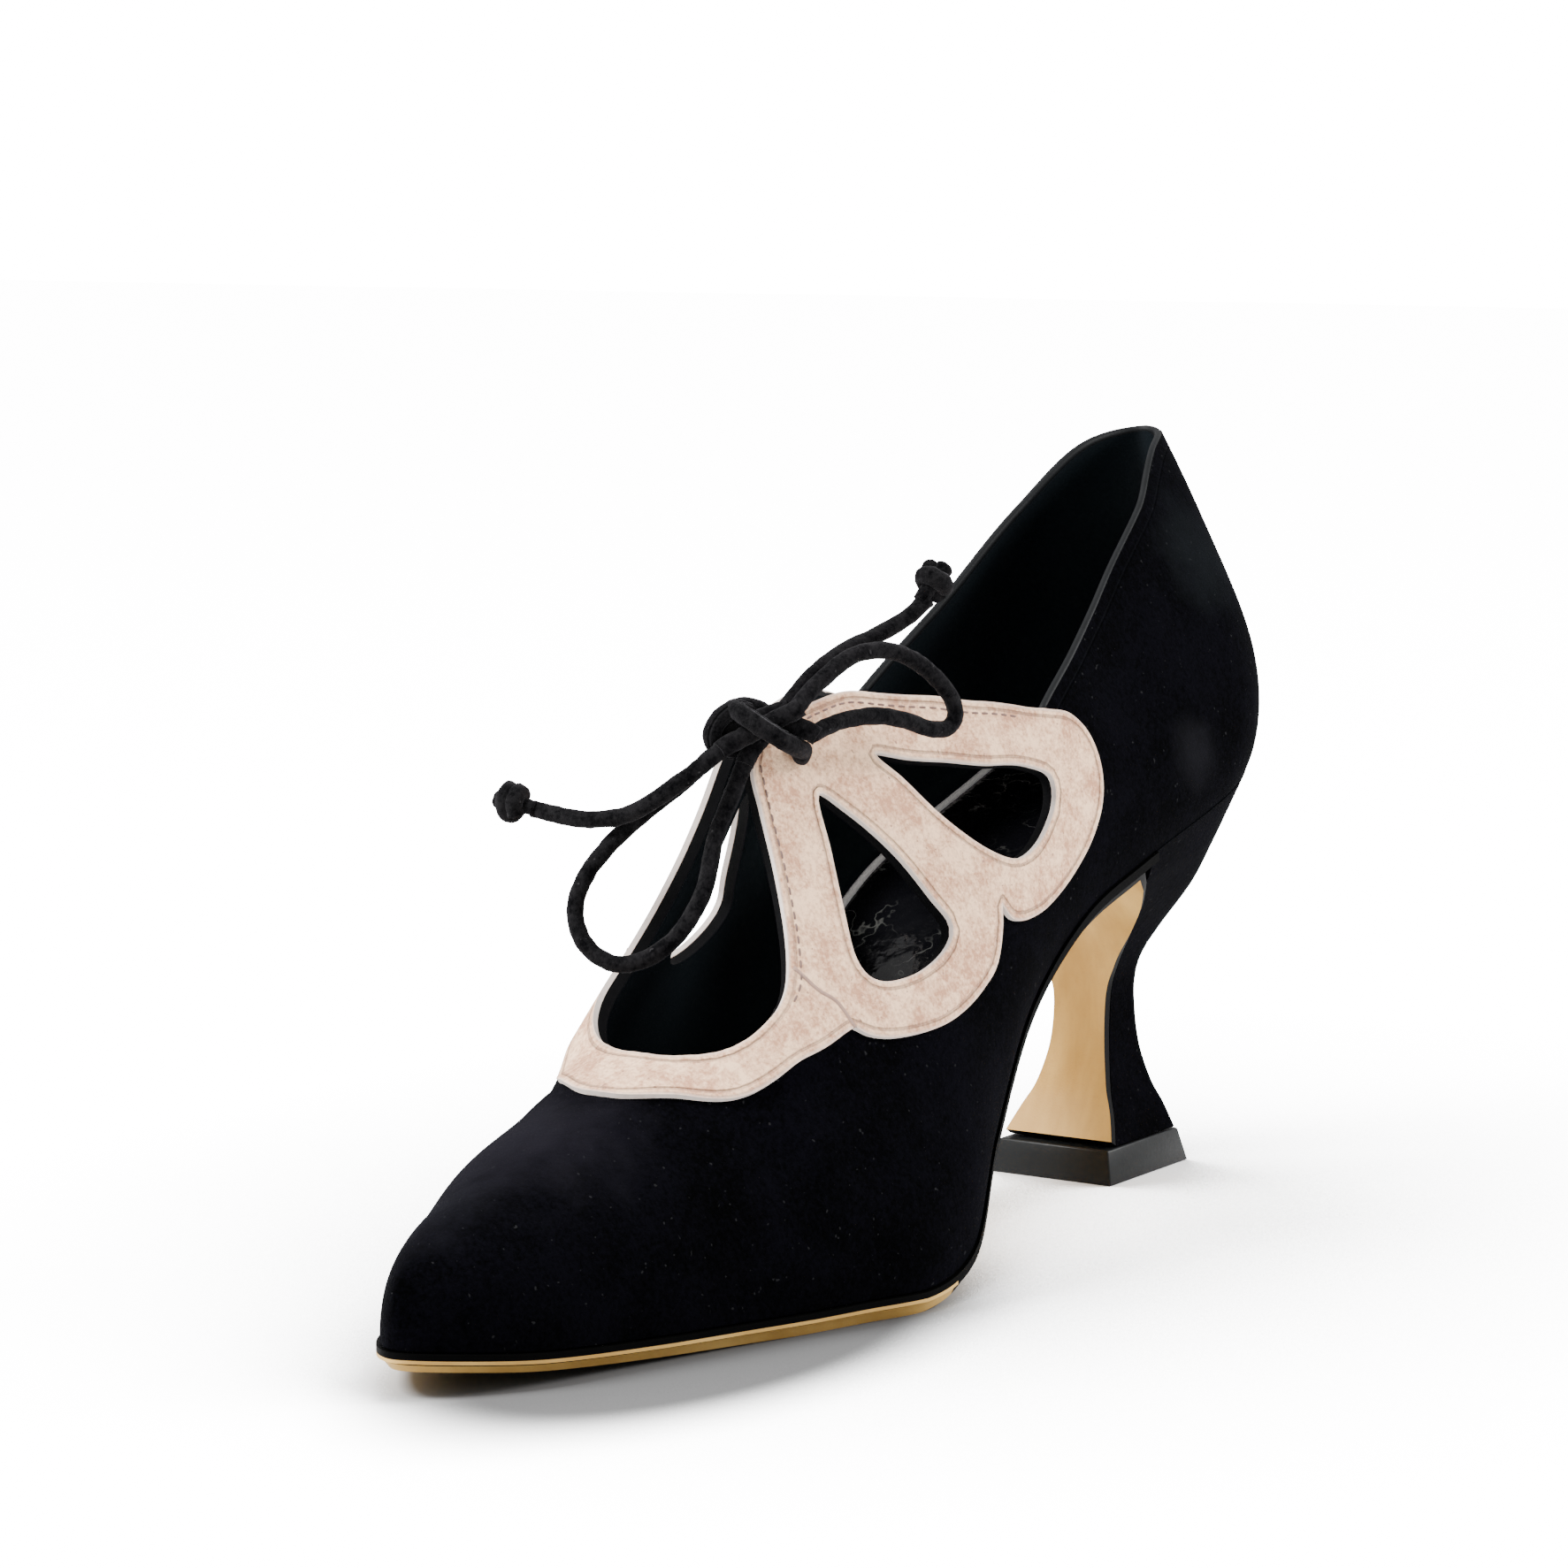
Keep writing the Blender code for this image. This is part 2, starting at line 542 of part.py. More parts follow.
def heel_side(level, side):
    """One side of a heel level, from its front corner round to the back."""
    depth = level.back - level.front
    round_x = level.half * level.round
    round_y = min(depth * CORNER_DEPTH, round_x * CORNER_LENGTH)
    turn_y = level.back - round_y
    outline = [(level.half, level.front + (turn_y - level.front) * k / SIDE_POINTS)
               for k in range(SIDE_POINTS)]
    for k in range(CORNER_POINTS + 1):
        angle = pi / 2 * k / CORNER_POINTS
        outline.append((level.half - round_x * (1 - cos(angle)), turn_y + round_y * sin(angle)))
    points = []
    for x, y in outline:
        share = (y - level.front) / depth
        points.append((side * x, y, level.front_up + (level.back_up - level.front_up) * share))
    return points


def seat_side(side):
    """One side of the heel's top, along the last's lower edge to the back."""
    shares = list(np.linspace(float(share_at(-SEAT_FRONT)), HEEL_ROUND, SIDE_POINTS + 1))[:-1]
    shares += [HEEL_ROUND * (1 - sin(pi / 2 * k / CORNER_POINTS)) for k in range(CORNER_POINTS + 1)]
    points = last_point(np.array(shares), 0.0, side)
    points[:, 2] -= CLEARANCE
    return [tuple(point) for point in points]


def make_heel(material, collection):
    """The heel, a loft from the top piece up to the last's seat."""
    sides = [(heel_side(level, 1), heel_side(level, -1)) for level in heel_levels()]
    sides.append((seat_side(1), seat_side(-1)))
    build = bmesh.new()
    grid = []
    for left, right in sides:
        left_row = [build.verts.new(point) for point in left]
        right_row = [build.verts.new(point) for point in right]
        grid.append((left_row, right_row))
    count = len(grid[0][0])
    for (left, right), (next_left, next_right) in zip(grid[:-1], grid[1:]):
        for k in range(count - 1):
            build.faces.new((left[k], left[k + 1], next_left[k + 1], next_left[k]))
            build.faces.new((right[k + 1], right[k], next_right[k], next_right[k + 1]))
        build.faces.new((left[-1], right[-1], next_right[-1], next_left[-1]))
        build.faces.new((right[0], left[0], next_left[0], next_right[0]))
    for left, right in (grid[0], grid[-1]):
        for k in range(count - 1):
            build.faces.new((left[k], left[k + 1], right[k + 1], right[k]))
    return close_mesh("heel", build, material, collection)


def make_outsole(material, collection):
    """The outsole, from the toe along the waist and down the heel's breast in one piece."""
    drop = 2 * CLEARANCE + RAND_THICKNESS
    first = float(share_at(-SEAT_FRONT - FLAP_BEND))
    top = plate_rows(first, 1.0, OUTSOLE_STEP, drop)[::-1]
    low = plate_rows(first, 1.0, TREAD_STEP, drop + OUTSOLE_THICKNESS)[::-1]
    low = [[(x, y, max(0.0, z)) for x, y, z in row] for row in low]
    levels = heel_levels()[::-1]
    for k, level in enumerate(levels):
        above, below = levels[max(0, k - 1)], levels[min(len(levels) - 1, k + 1)]
        run = Vector((below.front - above.front, below.front_up - above.front_up)).normalized()
        outwards = Vector((run.y, -run.x))
        for rows, distance in ((top, CLEARANCE), (low, CLEARANCE + OUTSOLE_THICKNESS)):
            y = level.front + outwards.x * distance
            z = max(HEEL_BASE, level.front_up + outwards.y * distance)
            spread = np.linspace(level.half, -level.half, PLATE_COLUMNS + 1)
            rows.append([(x, y, z) for x in spread])
    return slab("outsole", top, low, material, collection)


def make_top_piece(material, collection):
    """The heel's hard tread, a square block that flares towards the floor."""
    bpy.ops.mesh.primitive_cube_add(size=1.0)
    piece = bpy.context.object
    piece.name = "top_piece"
    for corner in piece.data.vertices:
        flare = 0.0 if corner.co.z < 0 else TOP_PIECE_FLARE
        corner.co.x *= 2 * (HALF_TREAD - flare)
        corner.co.y *= 2 * (HALF_DEPTH - flare)
        corner.co.z = TOP_PIECE_HEIGHT if corner.co.z > 0 else 0.0
    piece.data.name = "top_piece"
    piece.data.materials.clear()
    piece.data.materials.append(material)
    for home in list(piece.users_collection):
        home.objects.unlink(piece)
    collection.objects.link(piece)
    return piece


def make_cord(name, points, material, collection):
    """A plain tube through a smooth curve, with closed ends."""
    curve = bpy.data.curves.new(name, "CURVE")
    curve.dimensions = "3D"
    curve.bevel_depth = LACE_DIAMETER / 2
    curve.bevel_resolution = 2
    curve.use_fill_caps = True
    route = curve_through(points, step=CORD_STEP)
    spline = curve.splines.new("POLY")
    spline.points.add(len(route) - 1)
    for place, target in zip(route, spline.points):
        target.co = (*place, 1.0)
    piece = bpy.data.objects.new(name, curve)
    curve.materials.append(material)
    collection.objects.link(piece)
    return piece


def make_knot(name, centre, size, turn, material, collection):
    """A rounded lump of the knot's outer size, turned about the upright by turn."""
    bpy.ops.mesh.primitive_uv_sphere_add(segments=KNOT_SEGMENTS, ring_count=KNOT_RINGS, radius=0.5)
    piece = bpy.context.object
    piece.name = name
    piece.data.name = name
    place = Matrix.Translation(centre) @ Matrix.Rotation(turn, 4, "Z") @ Matrix.Diagonal((*size, 1.0))
    piece.data.transform(place)
    piece.data.shade_smooth()
    piece.data.materials.append(material)
    for home in list(piece.users_collection):
        home.objects.unlink(piece)
    collection.objects.link(piece)
    return piece


def build():
    """Make every piece."""
    clear_scene()
    collection = bpy.data.collections.new("heeled_derby_shoe")
    bpy.context.scene.collection.children.link(collection)
    suede = make_material("black suede")
    cord = make_material("black cord")

    shell, mark = upper_shell()
    make_upper(shell, suede, collection)
    make_overlay(shell, mark, make_material("blush suede"), collection)
    shell.free()
    make_insole(make_material("glossy black leather"), collection)
    make_rand(make_material("black edge ink"), collection)
    make_outsole(make_material("beige sole leather"), collection)
    make_heel(suede, collection)
    make_top_piece(make_material("dark top piece"), collection)
    make_knot("lace_knot", KNOT_CENTRE, KNOT_SIZE, KNOT_TURN, cord, collection)
    make_knot("lace_end_a_knot", END_A_KNOT, END_KNOT_SIZE, 0.0, cord, collection)
    make_knot("lace_end_b_knot", END_B_KNOT, END_KNOT_SIZE, 0.0, cord, collection)
    for name, route in (("lace_crossing", CROSSING), ("lace_loop_a", LOOP_A),
                        ("lace_loop_b", LOOP_B), ("lace_end_a", END_A), ("lace_end_b", END_B)):
        make_cord(name, route, cord, collection)


build()
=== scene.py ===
"""Heeled derby shoe for the left foot, in black and blush suede, tied with a cord bow.

Everything is in metres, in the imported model's frame: the origin is the middle of the
heel's tread on the floor, the toe points along -Y, the wearer's left is +X and up is +Z.
"""

from collections import namedtuple
from math import cos, pi, radians, sin

import bmesh
import bpy
import numpy as np
from mathutils import Matrix, Vector
from mathutils.geometry import delaunay_2d_cdt
from mathutils.kdtree import KDTree


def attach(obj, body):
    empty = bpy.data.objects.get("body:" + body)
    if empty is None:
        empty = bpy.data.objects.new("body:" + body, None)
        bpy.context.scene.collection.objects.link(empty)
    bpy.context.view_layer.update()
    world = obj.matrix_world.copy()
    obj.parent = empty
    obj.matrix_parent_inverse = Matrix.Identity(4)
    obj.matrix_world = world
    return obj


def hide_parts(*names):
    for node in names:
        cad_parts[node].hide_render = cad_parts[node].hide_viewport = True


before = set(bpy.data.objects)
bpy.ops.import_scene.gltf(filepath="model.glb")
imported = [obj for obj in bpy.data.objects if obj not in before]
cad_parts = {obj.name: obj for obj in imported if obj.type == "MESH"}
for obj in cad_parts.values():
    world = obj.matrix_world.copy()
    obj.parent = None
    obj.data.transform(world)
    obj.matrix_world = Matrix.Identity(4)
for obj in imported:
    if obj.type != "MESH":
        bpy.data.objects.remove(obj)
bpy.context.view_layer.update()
bpy.ops.object.select_all(action="DESELECT")

# Camera
# It stands in front of the shoe's outer side, low over the floor, with a long lens.
# The photo is very slightly rolled.
VIEW_AZIMUTH = 33.8
VIEW_ELEVATION = 7.6
VIEW_ROLL = -0.3
VIEW_DISTANCE = 0.9
VIEW_TARGET = (-0.0172, -0.0800, 0.0825)
LENS = 114.5

turn, rise, roll = (radians(angle) for angle in (VIEW_AZIMUTH, VIEW_ELEVATION, VIEW_ROLL))
towards_camera = Vector((sin(turn) * cos(rise), -cos(turn) * cos(rise), sin(rise)))
level_right = Vector((cos(turn), sin(turn), 0.0))
level_up = towards_camera.cross(level_right)
camera_right = level_right * cos(roll) + level_up * sin(roll)
camera_up = level_up * cos(roll) - level_right * sin(roll)
camera = bpy.data.objects.new("camera", bpy.data.cameras.new("camera"))
camera.data.lens = LENS
camera.data.sensor_width = 36.0
camera.data.clip_start = 0.01
camera.matrix_world = Matrix.Translation(Vector(VIEW_TARGET) + towards_camera * VIEW_DISTANCE) @ Matrix(
    (camera_right, camera_up, towards_camera)).transposed().to_4x4()
bpy.context.scene.collection.objects.link(camera)
bpy.context.scene.camera = camera

# Upper
# Black suede on a black leather lining, cut in two halves, closed at the back and along
# the vamp's middle by its own last, and pulled under the sole. The wings are cut open.
SHOE_LENGTH = 0.2475
BALL_WIDTH = 0.075
SEAT_HEIGHT = 0.082
INSTEP_HEIGHT = 0.098
NOSE_HEIGHT = 0.007
TOE_SPRING = 0.0038
HEEL_OVERHANG = 0.034
UPPER_WALL = 0.0018
RAND_THICKNESS = 0.0017
OUTSOLE_THICKNESS = 0.0019
CLEARANCE = 0.0003
SOLE_STACK = RAND_THICKNESS + OUTSOLE_THICKNESS + 2 * CLEARANCE
PATTERN_LENGTH = SHOE_LENGTH * pi / 2
GRID_STEP = 0.0022
EDGE_STEP = 0.0011
GRID_TO_EDGE = 0.6
CURVE_SAMPLES = 24
MERGE_DISTANCE = 0.00002
NUDGE = 0.0001
FLAT_NORMAL = 1e-10

# Cross-sections of the last from the back to the toe. seat, spring: shares of the seat's
# height and of the toe spring; left, right, swing and flare: shares of the ball's width;
# height: share of the instep's height; rise and crown: heights of the inner control points
# as shares of the section's height; shoulder: width at the crown as a share of the half.
Section = namedtuple("Section", "along seat spring left right swing height flare rise shoulder crown")
SECTIONS = [
    Section(0.00, 1.000, 0.00, 0.373, 0.360, 0.000, 0.704, 0.160, 0.31, 0.10, 1.00),
    Section(0.08, 0.936, 0.00, 0.373, 0.360, 0.000, 0.735, 0.160, 0.31, 0.10, 1.00),
    Section(0.16, 0.859, 0.00, 0.365, 0.352, 0.000, 0.776, 0.133, 0.30, 0.10, 1.00),
    Section(0.24, 0.781, 0.00, 0.349, 0.347, 0.000, 0.765, 0.120, 0.30, 0.12, 1.00),
    Section(0.32, 0.685, 0.00, 0.336, 0.344, 0.000, 0.786, 0.120, 0.30, 0.18, 1.00),
    Section(0.40, 0.505, 0.00, 0.344, 0.349, 0.000, 0.837, 0.133, 0.32, 0.24, 0.95),
    Section(0.48, 0.248, 0.00, 0.404, 0.380, 0.000, 0.908, 0.107, 0.31, 0.26, 0.87),
    Section(0.56, 0.046, 0.00, 0.501, 0.443, 0.000, 1.000, 0.053, 0.29, 0.24, 0.76),
    Section(0.62, 0.000, 0.00, 0.505, 0.483, 0.000, 1.000, 0.040, 0.27, 0.24, 0.64),
    Section(0.67, 0.000, 0.00, 0.448, 0.483, 0.000, 0.735, 0.040, 0.32, 0.42, 0.78),
    Section(0.71, 0.000, 0.00, 0.405, 0.464, 0.000, 0.480, 0.027, 0.38, 0.62, 0.95),
    Section(0.76, 0.000, 0.03, 0.357, 0.421, -0.013, 0.387, 0.013, 0.42, 0.66, 1.00),
    Section(0.84, 0.000, 0.16, 0.285, 0.342, -0.027, 0.311, 0.013, 0.45, 0.70, 1.00),
    Section(0.92, 0.000, 0.47, 0.211, 0.211, -0.035, 0.227, 0.000, 0.45, 0.74, 0.98),
    Section(1.00, 0.000, 1.00, 0.113, 0.115, -0.040, 0.168, 0.000, 0.45, 0.78, 0.94),
]
HEEL_ROUND = 0.13
COLLAR_ROUND = 0.07
NOSE_ROUND = 0.08
BACK_CURVE = [(0.0, 0.0), (0.21, -0.008), (0.42, -0.076), (0.63, -0.130), (0.84, -0.235)]
BACK_FADE = 0.30
FADE_POWER = 1.5

# Outlines as rows of how far along the shoe and how far up from the feather to the ridge
COLLAR = [(0.000, 0.727), (0.059, 0.714), (0.139, 0.604), (0.206, 0.548), (0.248, 0.509),
          (0.301, 0.460), (0.345, 0.437)]
WING_TOP = [(0.345, 0.437), (0.373, 0.488), (0.416, 0.589), (0.451, 0.699), (0.486, 0.803),
            (0.516, 0.877), (0.550, 0.915), (0.585, 0.935), (0.612, 0.935)]
THROAT = [(0.612, 0.935), (0.626, 0.912), (0.630, 0.850), (0.636, 0.775), (0.647, 0.701),
          (0.660, 0.655), (0.672, 0.645), (0.684, 0.663), (0.699, 0.713), (0.718, 0.815),
          (0.733, 0.925), (0.736, 1.000)]
BAND_LINE = [(0.780, 1.000), (0.778, 0.930), (0.768, 0.850), (0.745, 0.727), (0.712, 0.630),
             (0.688, 0.560), (0.659, 0.508), (0.628, 0.489)]
LOWER_PETAL = [(0.628, 0.489), (0.616, 0.460), (0.598, 0.430), (0.567, 0.390), (0.533, 0.350),
               (0.496, 0.310), (0.472, 0.294), (0.457, 0.312), (0.451, 0.336)]
UPPER_PETAL = [(0.451, 0.336), (0.443, 0.292), (0.425, 0.242), (0.397, 0.192), (0.363, 0.166),
               (0.331, 0.174), (0.309, 0.215), (0.301, 0.275), (0.306, 0.340), (0.323, 0.398),
               (0.345, 0.437)]
UPPER_HOLE = [(0.514, 0.740), (0.487, 0.672), (0.461, 0.603), (0.423, 0.494), (0.385, 0.408),
              (0.363, 0.350), (0.368, 0.308), (0.394, 0.299), (0.422, 0.336), (0.450, 0.425),
              (0.480, 0.555), (0.500, 0.665)]
LOWER_HOLE = [(0.577, 0.783), (0.556, 0.712), (0.534, 0.607), (0.518, 0.505), (0.508, 0.440),
              (0.522, 0.432), (0.562, 0.468), (0.592, 0.510), (0.602, 0.560), (0.595, 0.630),
              (0.586, 0.705)]

# Soft creases of the vamp and the quarters: where each runs from and to on the last, the side,
# how wide it is and how deep; a negative depth is a ridge.
Crease = namedtuple("Crease", "start end side width depth")
CREASES = [
    Crease((0.700, 0.22), (0.735, 0.62), 1, 0.0065, 0.00035),
    Crease((0.675, 0.20), (0.700, 0.44), 1, 0.0060, -0.00025),
    Crease((0.640, 0.18), (0.668, 0.40), 1, 0.0070, 0.00030),
    Crease((0.690, 0.25), (0.730, 0.66), -1, 0.0065, 0.00035),
    Crease((0.650, 0.20), (0.672, 0.44), -1, 0.0070, 0.00030),
    Crease((0.180, 0.42), (0.330, 0.30), 1, 0.0150, 0.00050),
    Crease((0.200, 0.40), (0.340, 0.30), -1, 0.0150, 0.00050),
]


def smooth(rows, place):
    """Smooth curve through rows of (place, value), read at one or many places."""
    xs = np.array([row[0] for row in rows], float)
    ys = np.array([row[1] for row in rows], float)
    widths = np.diff(xs)
    slopes = np.diff(ys) / widths
    tangents = np.empty_like(ys)
    tangents[0] = slopes[0]
    tangents[-1] = slopes[-1]
    tangents[1:-1] = (slopes[1:] * widths[:-1] + slopes[:-1] * widths[1:]) / (xs[2:] - xs[:-2])
    place = np.clip(place, xs[0], xs[-1])
    k = np.clip(np.searchsorted(xs, place) - 1, 0, len(xs) - 2)
    width = widths[k]
    f = (place - xs[k]) / width
    start = (2 * f**3 - 3 * f**2 + 1) * ys[k] + (f**3 - 2 * f**2 + f) * width * tangents[k]
    end = (-2 * f**3 + 3 * f**2) * ys[k + 1] + (f**3 - f**2) * width * tangents[k + 1]
    return start + end


def section_value(name, along):
    """One column of the section table, read along the shoe."""
    return smooth([(row.along, getattr(row, name)) for row in SECTIONS], along)


def feather_height(along):
    """Height of the last's lower edge over the floor."""
    seat = np.maximum(0.0, section_value("seat", along)) * (SEAT_HEIGHT - SOLE_STACK)
    spring = np.maximum(0.0, section_value("spring", along)) * TOE_SPRING
    return SOLE_STACK + seat + spring


def last_point(along, up, side):
    """Points of the upper's outer surface; side is 1 on the left and -1 on the right."""
    along, up, side = np.broadcast_arrays(np.asarray(along, float), np.asarray(up, float),
                                          np.asarray(side, float))
    back_round = HEEL_ROUND + (COLLAR_ROUND - HEEL_ROUND) * up
    back = np.sqrt(1.0 - (1.0 - np.minimum(1.0, along / back_round)) ** 2)
    nose = np.sqrt(1.0 - (1.0 - np.minimum(1.0, (1.0 - along) / NOSE_ROUND)) ** 2)
    closed = back * nose
    half = np.where(side > 0, section_value("left", along), section_value("right", along))
    half = half * BALL_WIDTH * closed
    bulge = section_value("flare", along) * BALL_WIDTH * closed
    height = section_value("height", along) * INSTEP_HEIGHT
    height = NOSE_HEIGHT + (height - NOSE_HEIGHT) * nose
    b0 = (1 - up) ** 3
    b1 = 3 * up * (1 - up) ** 2
    b2 = 3 * up**2 * (1 - up)
    b3 = up**3
    across = b0 * half + b1 * (half + bulge) + b2 * half * section_value("shoulder", along)
    lift = height * (b1 * section_value("rise", along) + b2 * section_value("crown", along) + b3)
    fade = np.clip(1.0 - along / BACK_FADE, 0.0, 1.0) ** FADE_POWER
    lean = smooth(BACK_CURVE, lift / INSTEP_HEIGHT) * INSTEP_HEIGHT * fade
    x = section_value("swing", along) * BALL_WIDTH + side * across
    y = HEEL_OVERHANG - along * SHOE_LENGTH + lean
    return np.stack([x, y, feather_height(along) + lift], axis=-1)


def to_pattern(rows):
    """Rows of (along, up) as points of the pattern, half the upper laid flat."""
    rows = np.asarray(rows, float)
    share = np.arccos(1.0 - 2.0 * np.clip(rows[:, 0], 0.0, 1.0)) / pi
    return np.stack([share * PATTERN_LENGTH, rows[:, 1] * INSTEP_HEIGHT], axis=-1)


def from_pattern(points):
    """Shares along and up of points of the flat pattern."""
    along = (1.0 - np.cos(points[:, 0] / PATTERN_LENGTH * pi)) / 2.0
    return np.clip(along, 0.0, 1.0), np.clip(points[:, 1] / INSTEP_HEIGHT, 0.0, 1.0)


def distance_run(points):
    """How far along a run of points each one lies."""
    return np.concatenate([[0.0], np.cumsum(np.linalg.norm(np.diff(points, axis=0), axis=1))])


def curve_through(points, closed=False, step=EDGE_STEP):
    """Points at even steps on a smooth curve through the given ones."""
    points = np.asarray(points, float)
    count = len(points)
    spans = count if closed else count - 1
    dense = []
    for k in range(spans):
        if closed:
            a, b, c, d = (points[(k + j) % count] for j in (-1, 0, 1, 2))
        else:
            b, c = points[k], points[k + 1]
            a = points[k - 1] if k else 2 * b - c
            d = points[k + 2] if k + 2 < count else 2 * c - b
        for f in np.linspace(0.0, 1.0, CURVE_SAMPLES, endpoint=False):
            dense.append(0.5 * (2 * b + (c - a) * f + (2 * a - 5 * b + 4 * c - d) * f**2
                                + (3 * b - a - 3 * c + d) * f**3))
    dense.append(points[0] if closed else points[-1])
    dense = np.array(dense)
    run = distance_run(dense)
    pieces = max(2, round(run[-1] / step))
    places = np.linspace(0.0, run[-1], pieces + 1)
    even = np.stack([np.interp(places, run, dense[:, j]) for j in range(dense.shape[1])], axis=-1)
    return even[:-1] if closed else even


def straight(start, end, step=EDGE_STEP):
    """Even points from start to end, both rows of (along, up)."""
    start, end = to_pattern([start, end])
    pieces = max(2, round(float(np.linalg.norm(end - start)) / step))
    return np.linspace(start, end, pieces + 1)


def inside(points, loop):
    """Which points lie in a closed loop."""
    following = np.roll(loop, -1, axis=0)
    found = np.zeros(len(points), bool)
    for (ax, ay), (bx, by) in zip(loop, following):
        if ay != by:
            spans = (ay > points[:, 1]) != (by > points[:, 1])
            found ^= spans & (points[:, 0] < (bx - ax) * (points[:, 1] - ay) / (by - ay) + ax)
    return found


def join(*runs):
    """One run of points out of several that meet end to end."""
    return np.concatenate([run[:-1] for run in runs[:-1]] + [runs[-1]])


collar_line = curve_through(to_pattern(COLLAR))
wing_top_line = curve_through(to_pattern(WING_TOP))
throat_line = curve_through(to_pattern(THROAT))
band_line = curve_through(to_pattern(BAND_LINE))
lower_petal_line = curve_through(to_pattern(LOWER_PETAL))
upper_petal_line = curve_through(to_pattern(UPPER_PETAL))
petal_holes = [curve_through(to_pattern(rows), closed=True) for rows in (UPPER_HOLE, LOWER_HOLE)]
petal_outline = join(band_line, lower_petal_line, upper_petal_line)
band_ridge = straight(THROAT[-1], BAND_LINE[0])


def half_pattern():
    """Triangles of half the upper, with the ones under the overlay marked."""
    toe_ridge = straight(BAND_LINE[0], (1.0, 1.0), step=GRID_STEP)
    nose_line = straight((1.0, 1.0), (1.0, 0.0), step=3 * GRID_STEP)
    feather = straight((1.0, 0.0), (0.0, 0.0), step=GRID_STEP)
    back_seam = straight((0.0, 0.0), COLLAR[0], step=GRID_STEP)
    edge = join(collar_line, wing_top_line, throat_line, band_ridge, toe_ridge, nose_line,
                feather, back_seam)[:-1]
    overlay = join(wing_top_line, throat_line, band_ridge, petal_outline)[:-1]
    points = [edge]
    lines = [(k, (k + 1) % len(edge)) for k in range(len(edge))]
    first = len(edge)
    for hole in petal_holes:
        lines += [(first + k, first + (k + 1) % len(hole)) for k in range(len(hole))]
        points.append(hole)
        first += len(hole)
    lines += [(first + k, first + k + 1) for k in range(len(petal_outline) - 1)]
    points.append(petal_outline)
    outlines = np.concatenate(points)
    near = KDTree(len(outlines))
    for k, (x, y) in enumerate(outlines):
        near.insert((x, y, 0.0), k)
    near.balance()
    columns = np.linspace(0.0, PATTERN_LENGTH, round(PATTERN_LENGTH / GRID_STEP) + 1)[1:-1]
    rows = np.linspace(0.0, INSTEP_HEIGHT, round(INSTEP_HEIGHT / GRID_STEP) + 1)[1:-1]
    grid = [(x, y) for x in columns for y in rows
            if near.find((x, y, 0.0))[2] > GRID_TO_EDGE * GRID_STEP]
    flat = [Vector(point) for point in np.concatenate([outlines, grid])]
    places, _, faces, *_ = delaunay_2d_cdt(flat, lines, [], 0, 1e-7)
    places = np.array([tuple(place) for place in places])
    faces = np.array(faces)
    middles = places[faces].mean(axis=1)
    kept = inside(middles, edge)
    for hole in petal_holes:
        kept &= ~inside(middles, hole)
    return places, faces[kept], inside(middles[kept], overlay)


def crease_depth(places, side):
    """How far the surface sinks in at points of the pattern."""
    depth = np.zeros(len(places))
    for crease in CREASES:
        if crease.side != side:
            continue
        start, end = to_pattern([crease.start, crease.end])
        run = end - start
        share = np.clip((places - start) @ run / (run @ run), 0.0, 1.0)
        away = np.linalg.norm(places - start - share[:, None] * run, axis=1) / crease.width
        taper = np.sin(pi * np.clip(share, 0.04, 0.96))
        depth += crease.depth * np.exp(-(away**2) * 2.0) * taper
    return depth


def surface_frame(along, up, side):
    """Points of the last's surface and the direction straight into it at each."""
    surface = last_point(along, up, side)
    step_along = last_point(np.minimum(1.0, along + NUDGE), up, side) - surface
    step_up = last_point(along, np.minimum(1.0, up + NUDGE), side) - surface
    inward = np.cross(step_along, step_up) * side
    lengths = np.linalg.norm(inward, axis=1)
    for k in np.flatnonzero(lengths < FLAT_NORMAL):
        inward[k] = inward[k + 1] if k + 1 < len(inward) else inward[k - 1]
        lengths[k] = max(FLAT_NORMAL, np.linalg.norm(inward[k]))
    return surface, inward / lengths[:, None]


def distances(points, line):
    """Distance of each point to a run of points in space."""
    tree = KDTree(len(line))
    for k, place in enumerate(line):
        tree.insert(place, k)
    tree.balance()
    return np.array([tree.find(point)[2] for point in points])


pattern_places, pattern_faces, pattern_covered = half_pattern()
pattern_along, pattern_up = from_pattern(pattern_places)
fine = EDGE_STEP / 3
overlay_edges = [curve_through(to_pattern(rows), step=fine) for rows in
                 (WING_TOP, THROAT, BAND_LINE, LOWER_PETAL, UPPER_PETAL)]
overlay_edges += [curve_through(to_pattern(rows), closed=True, step=fine)
                  for rows in (UPPER_HOLE, LOWER_HOLE)]
SEAM = [(0.628, 0.489), (0.634, 0.540), (0.645, 0.585), (0.655, 0.655)]
seam_line = curve_through(to_pattern(SEAM), step=fine)
collar_run = curve_through(to_pattern(COLLAR), step=fine)

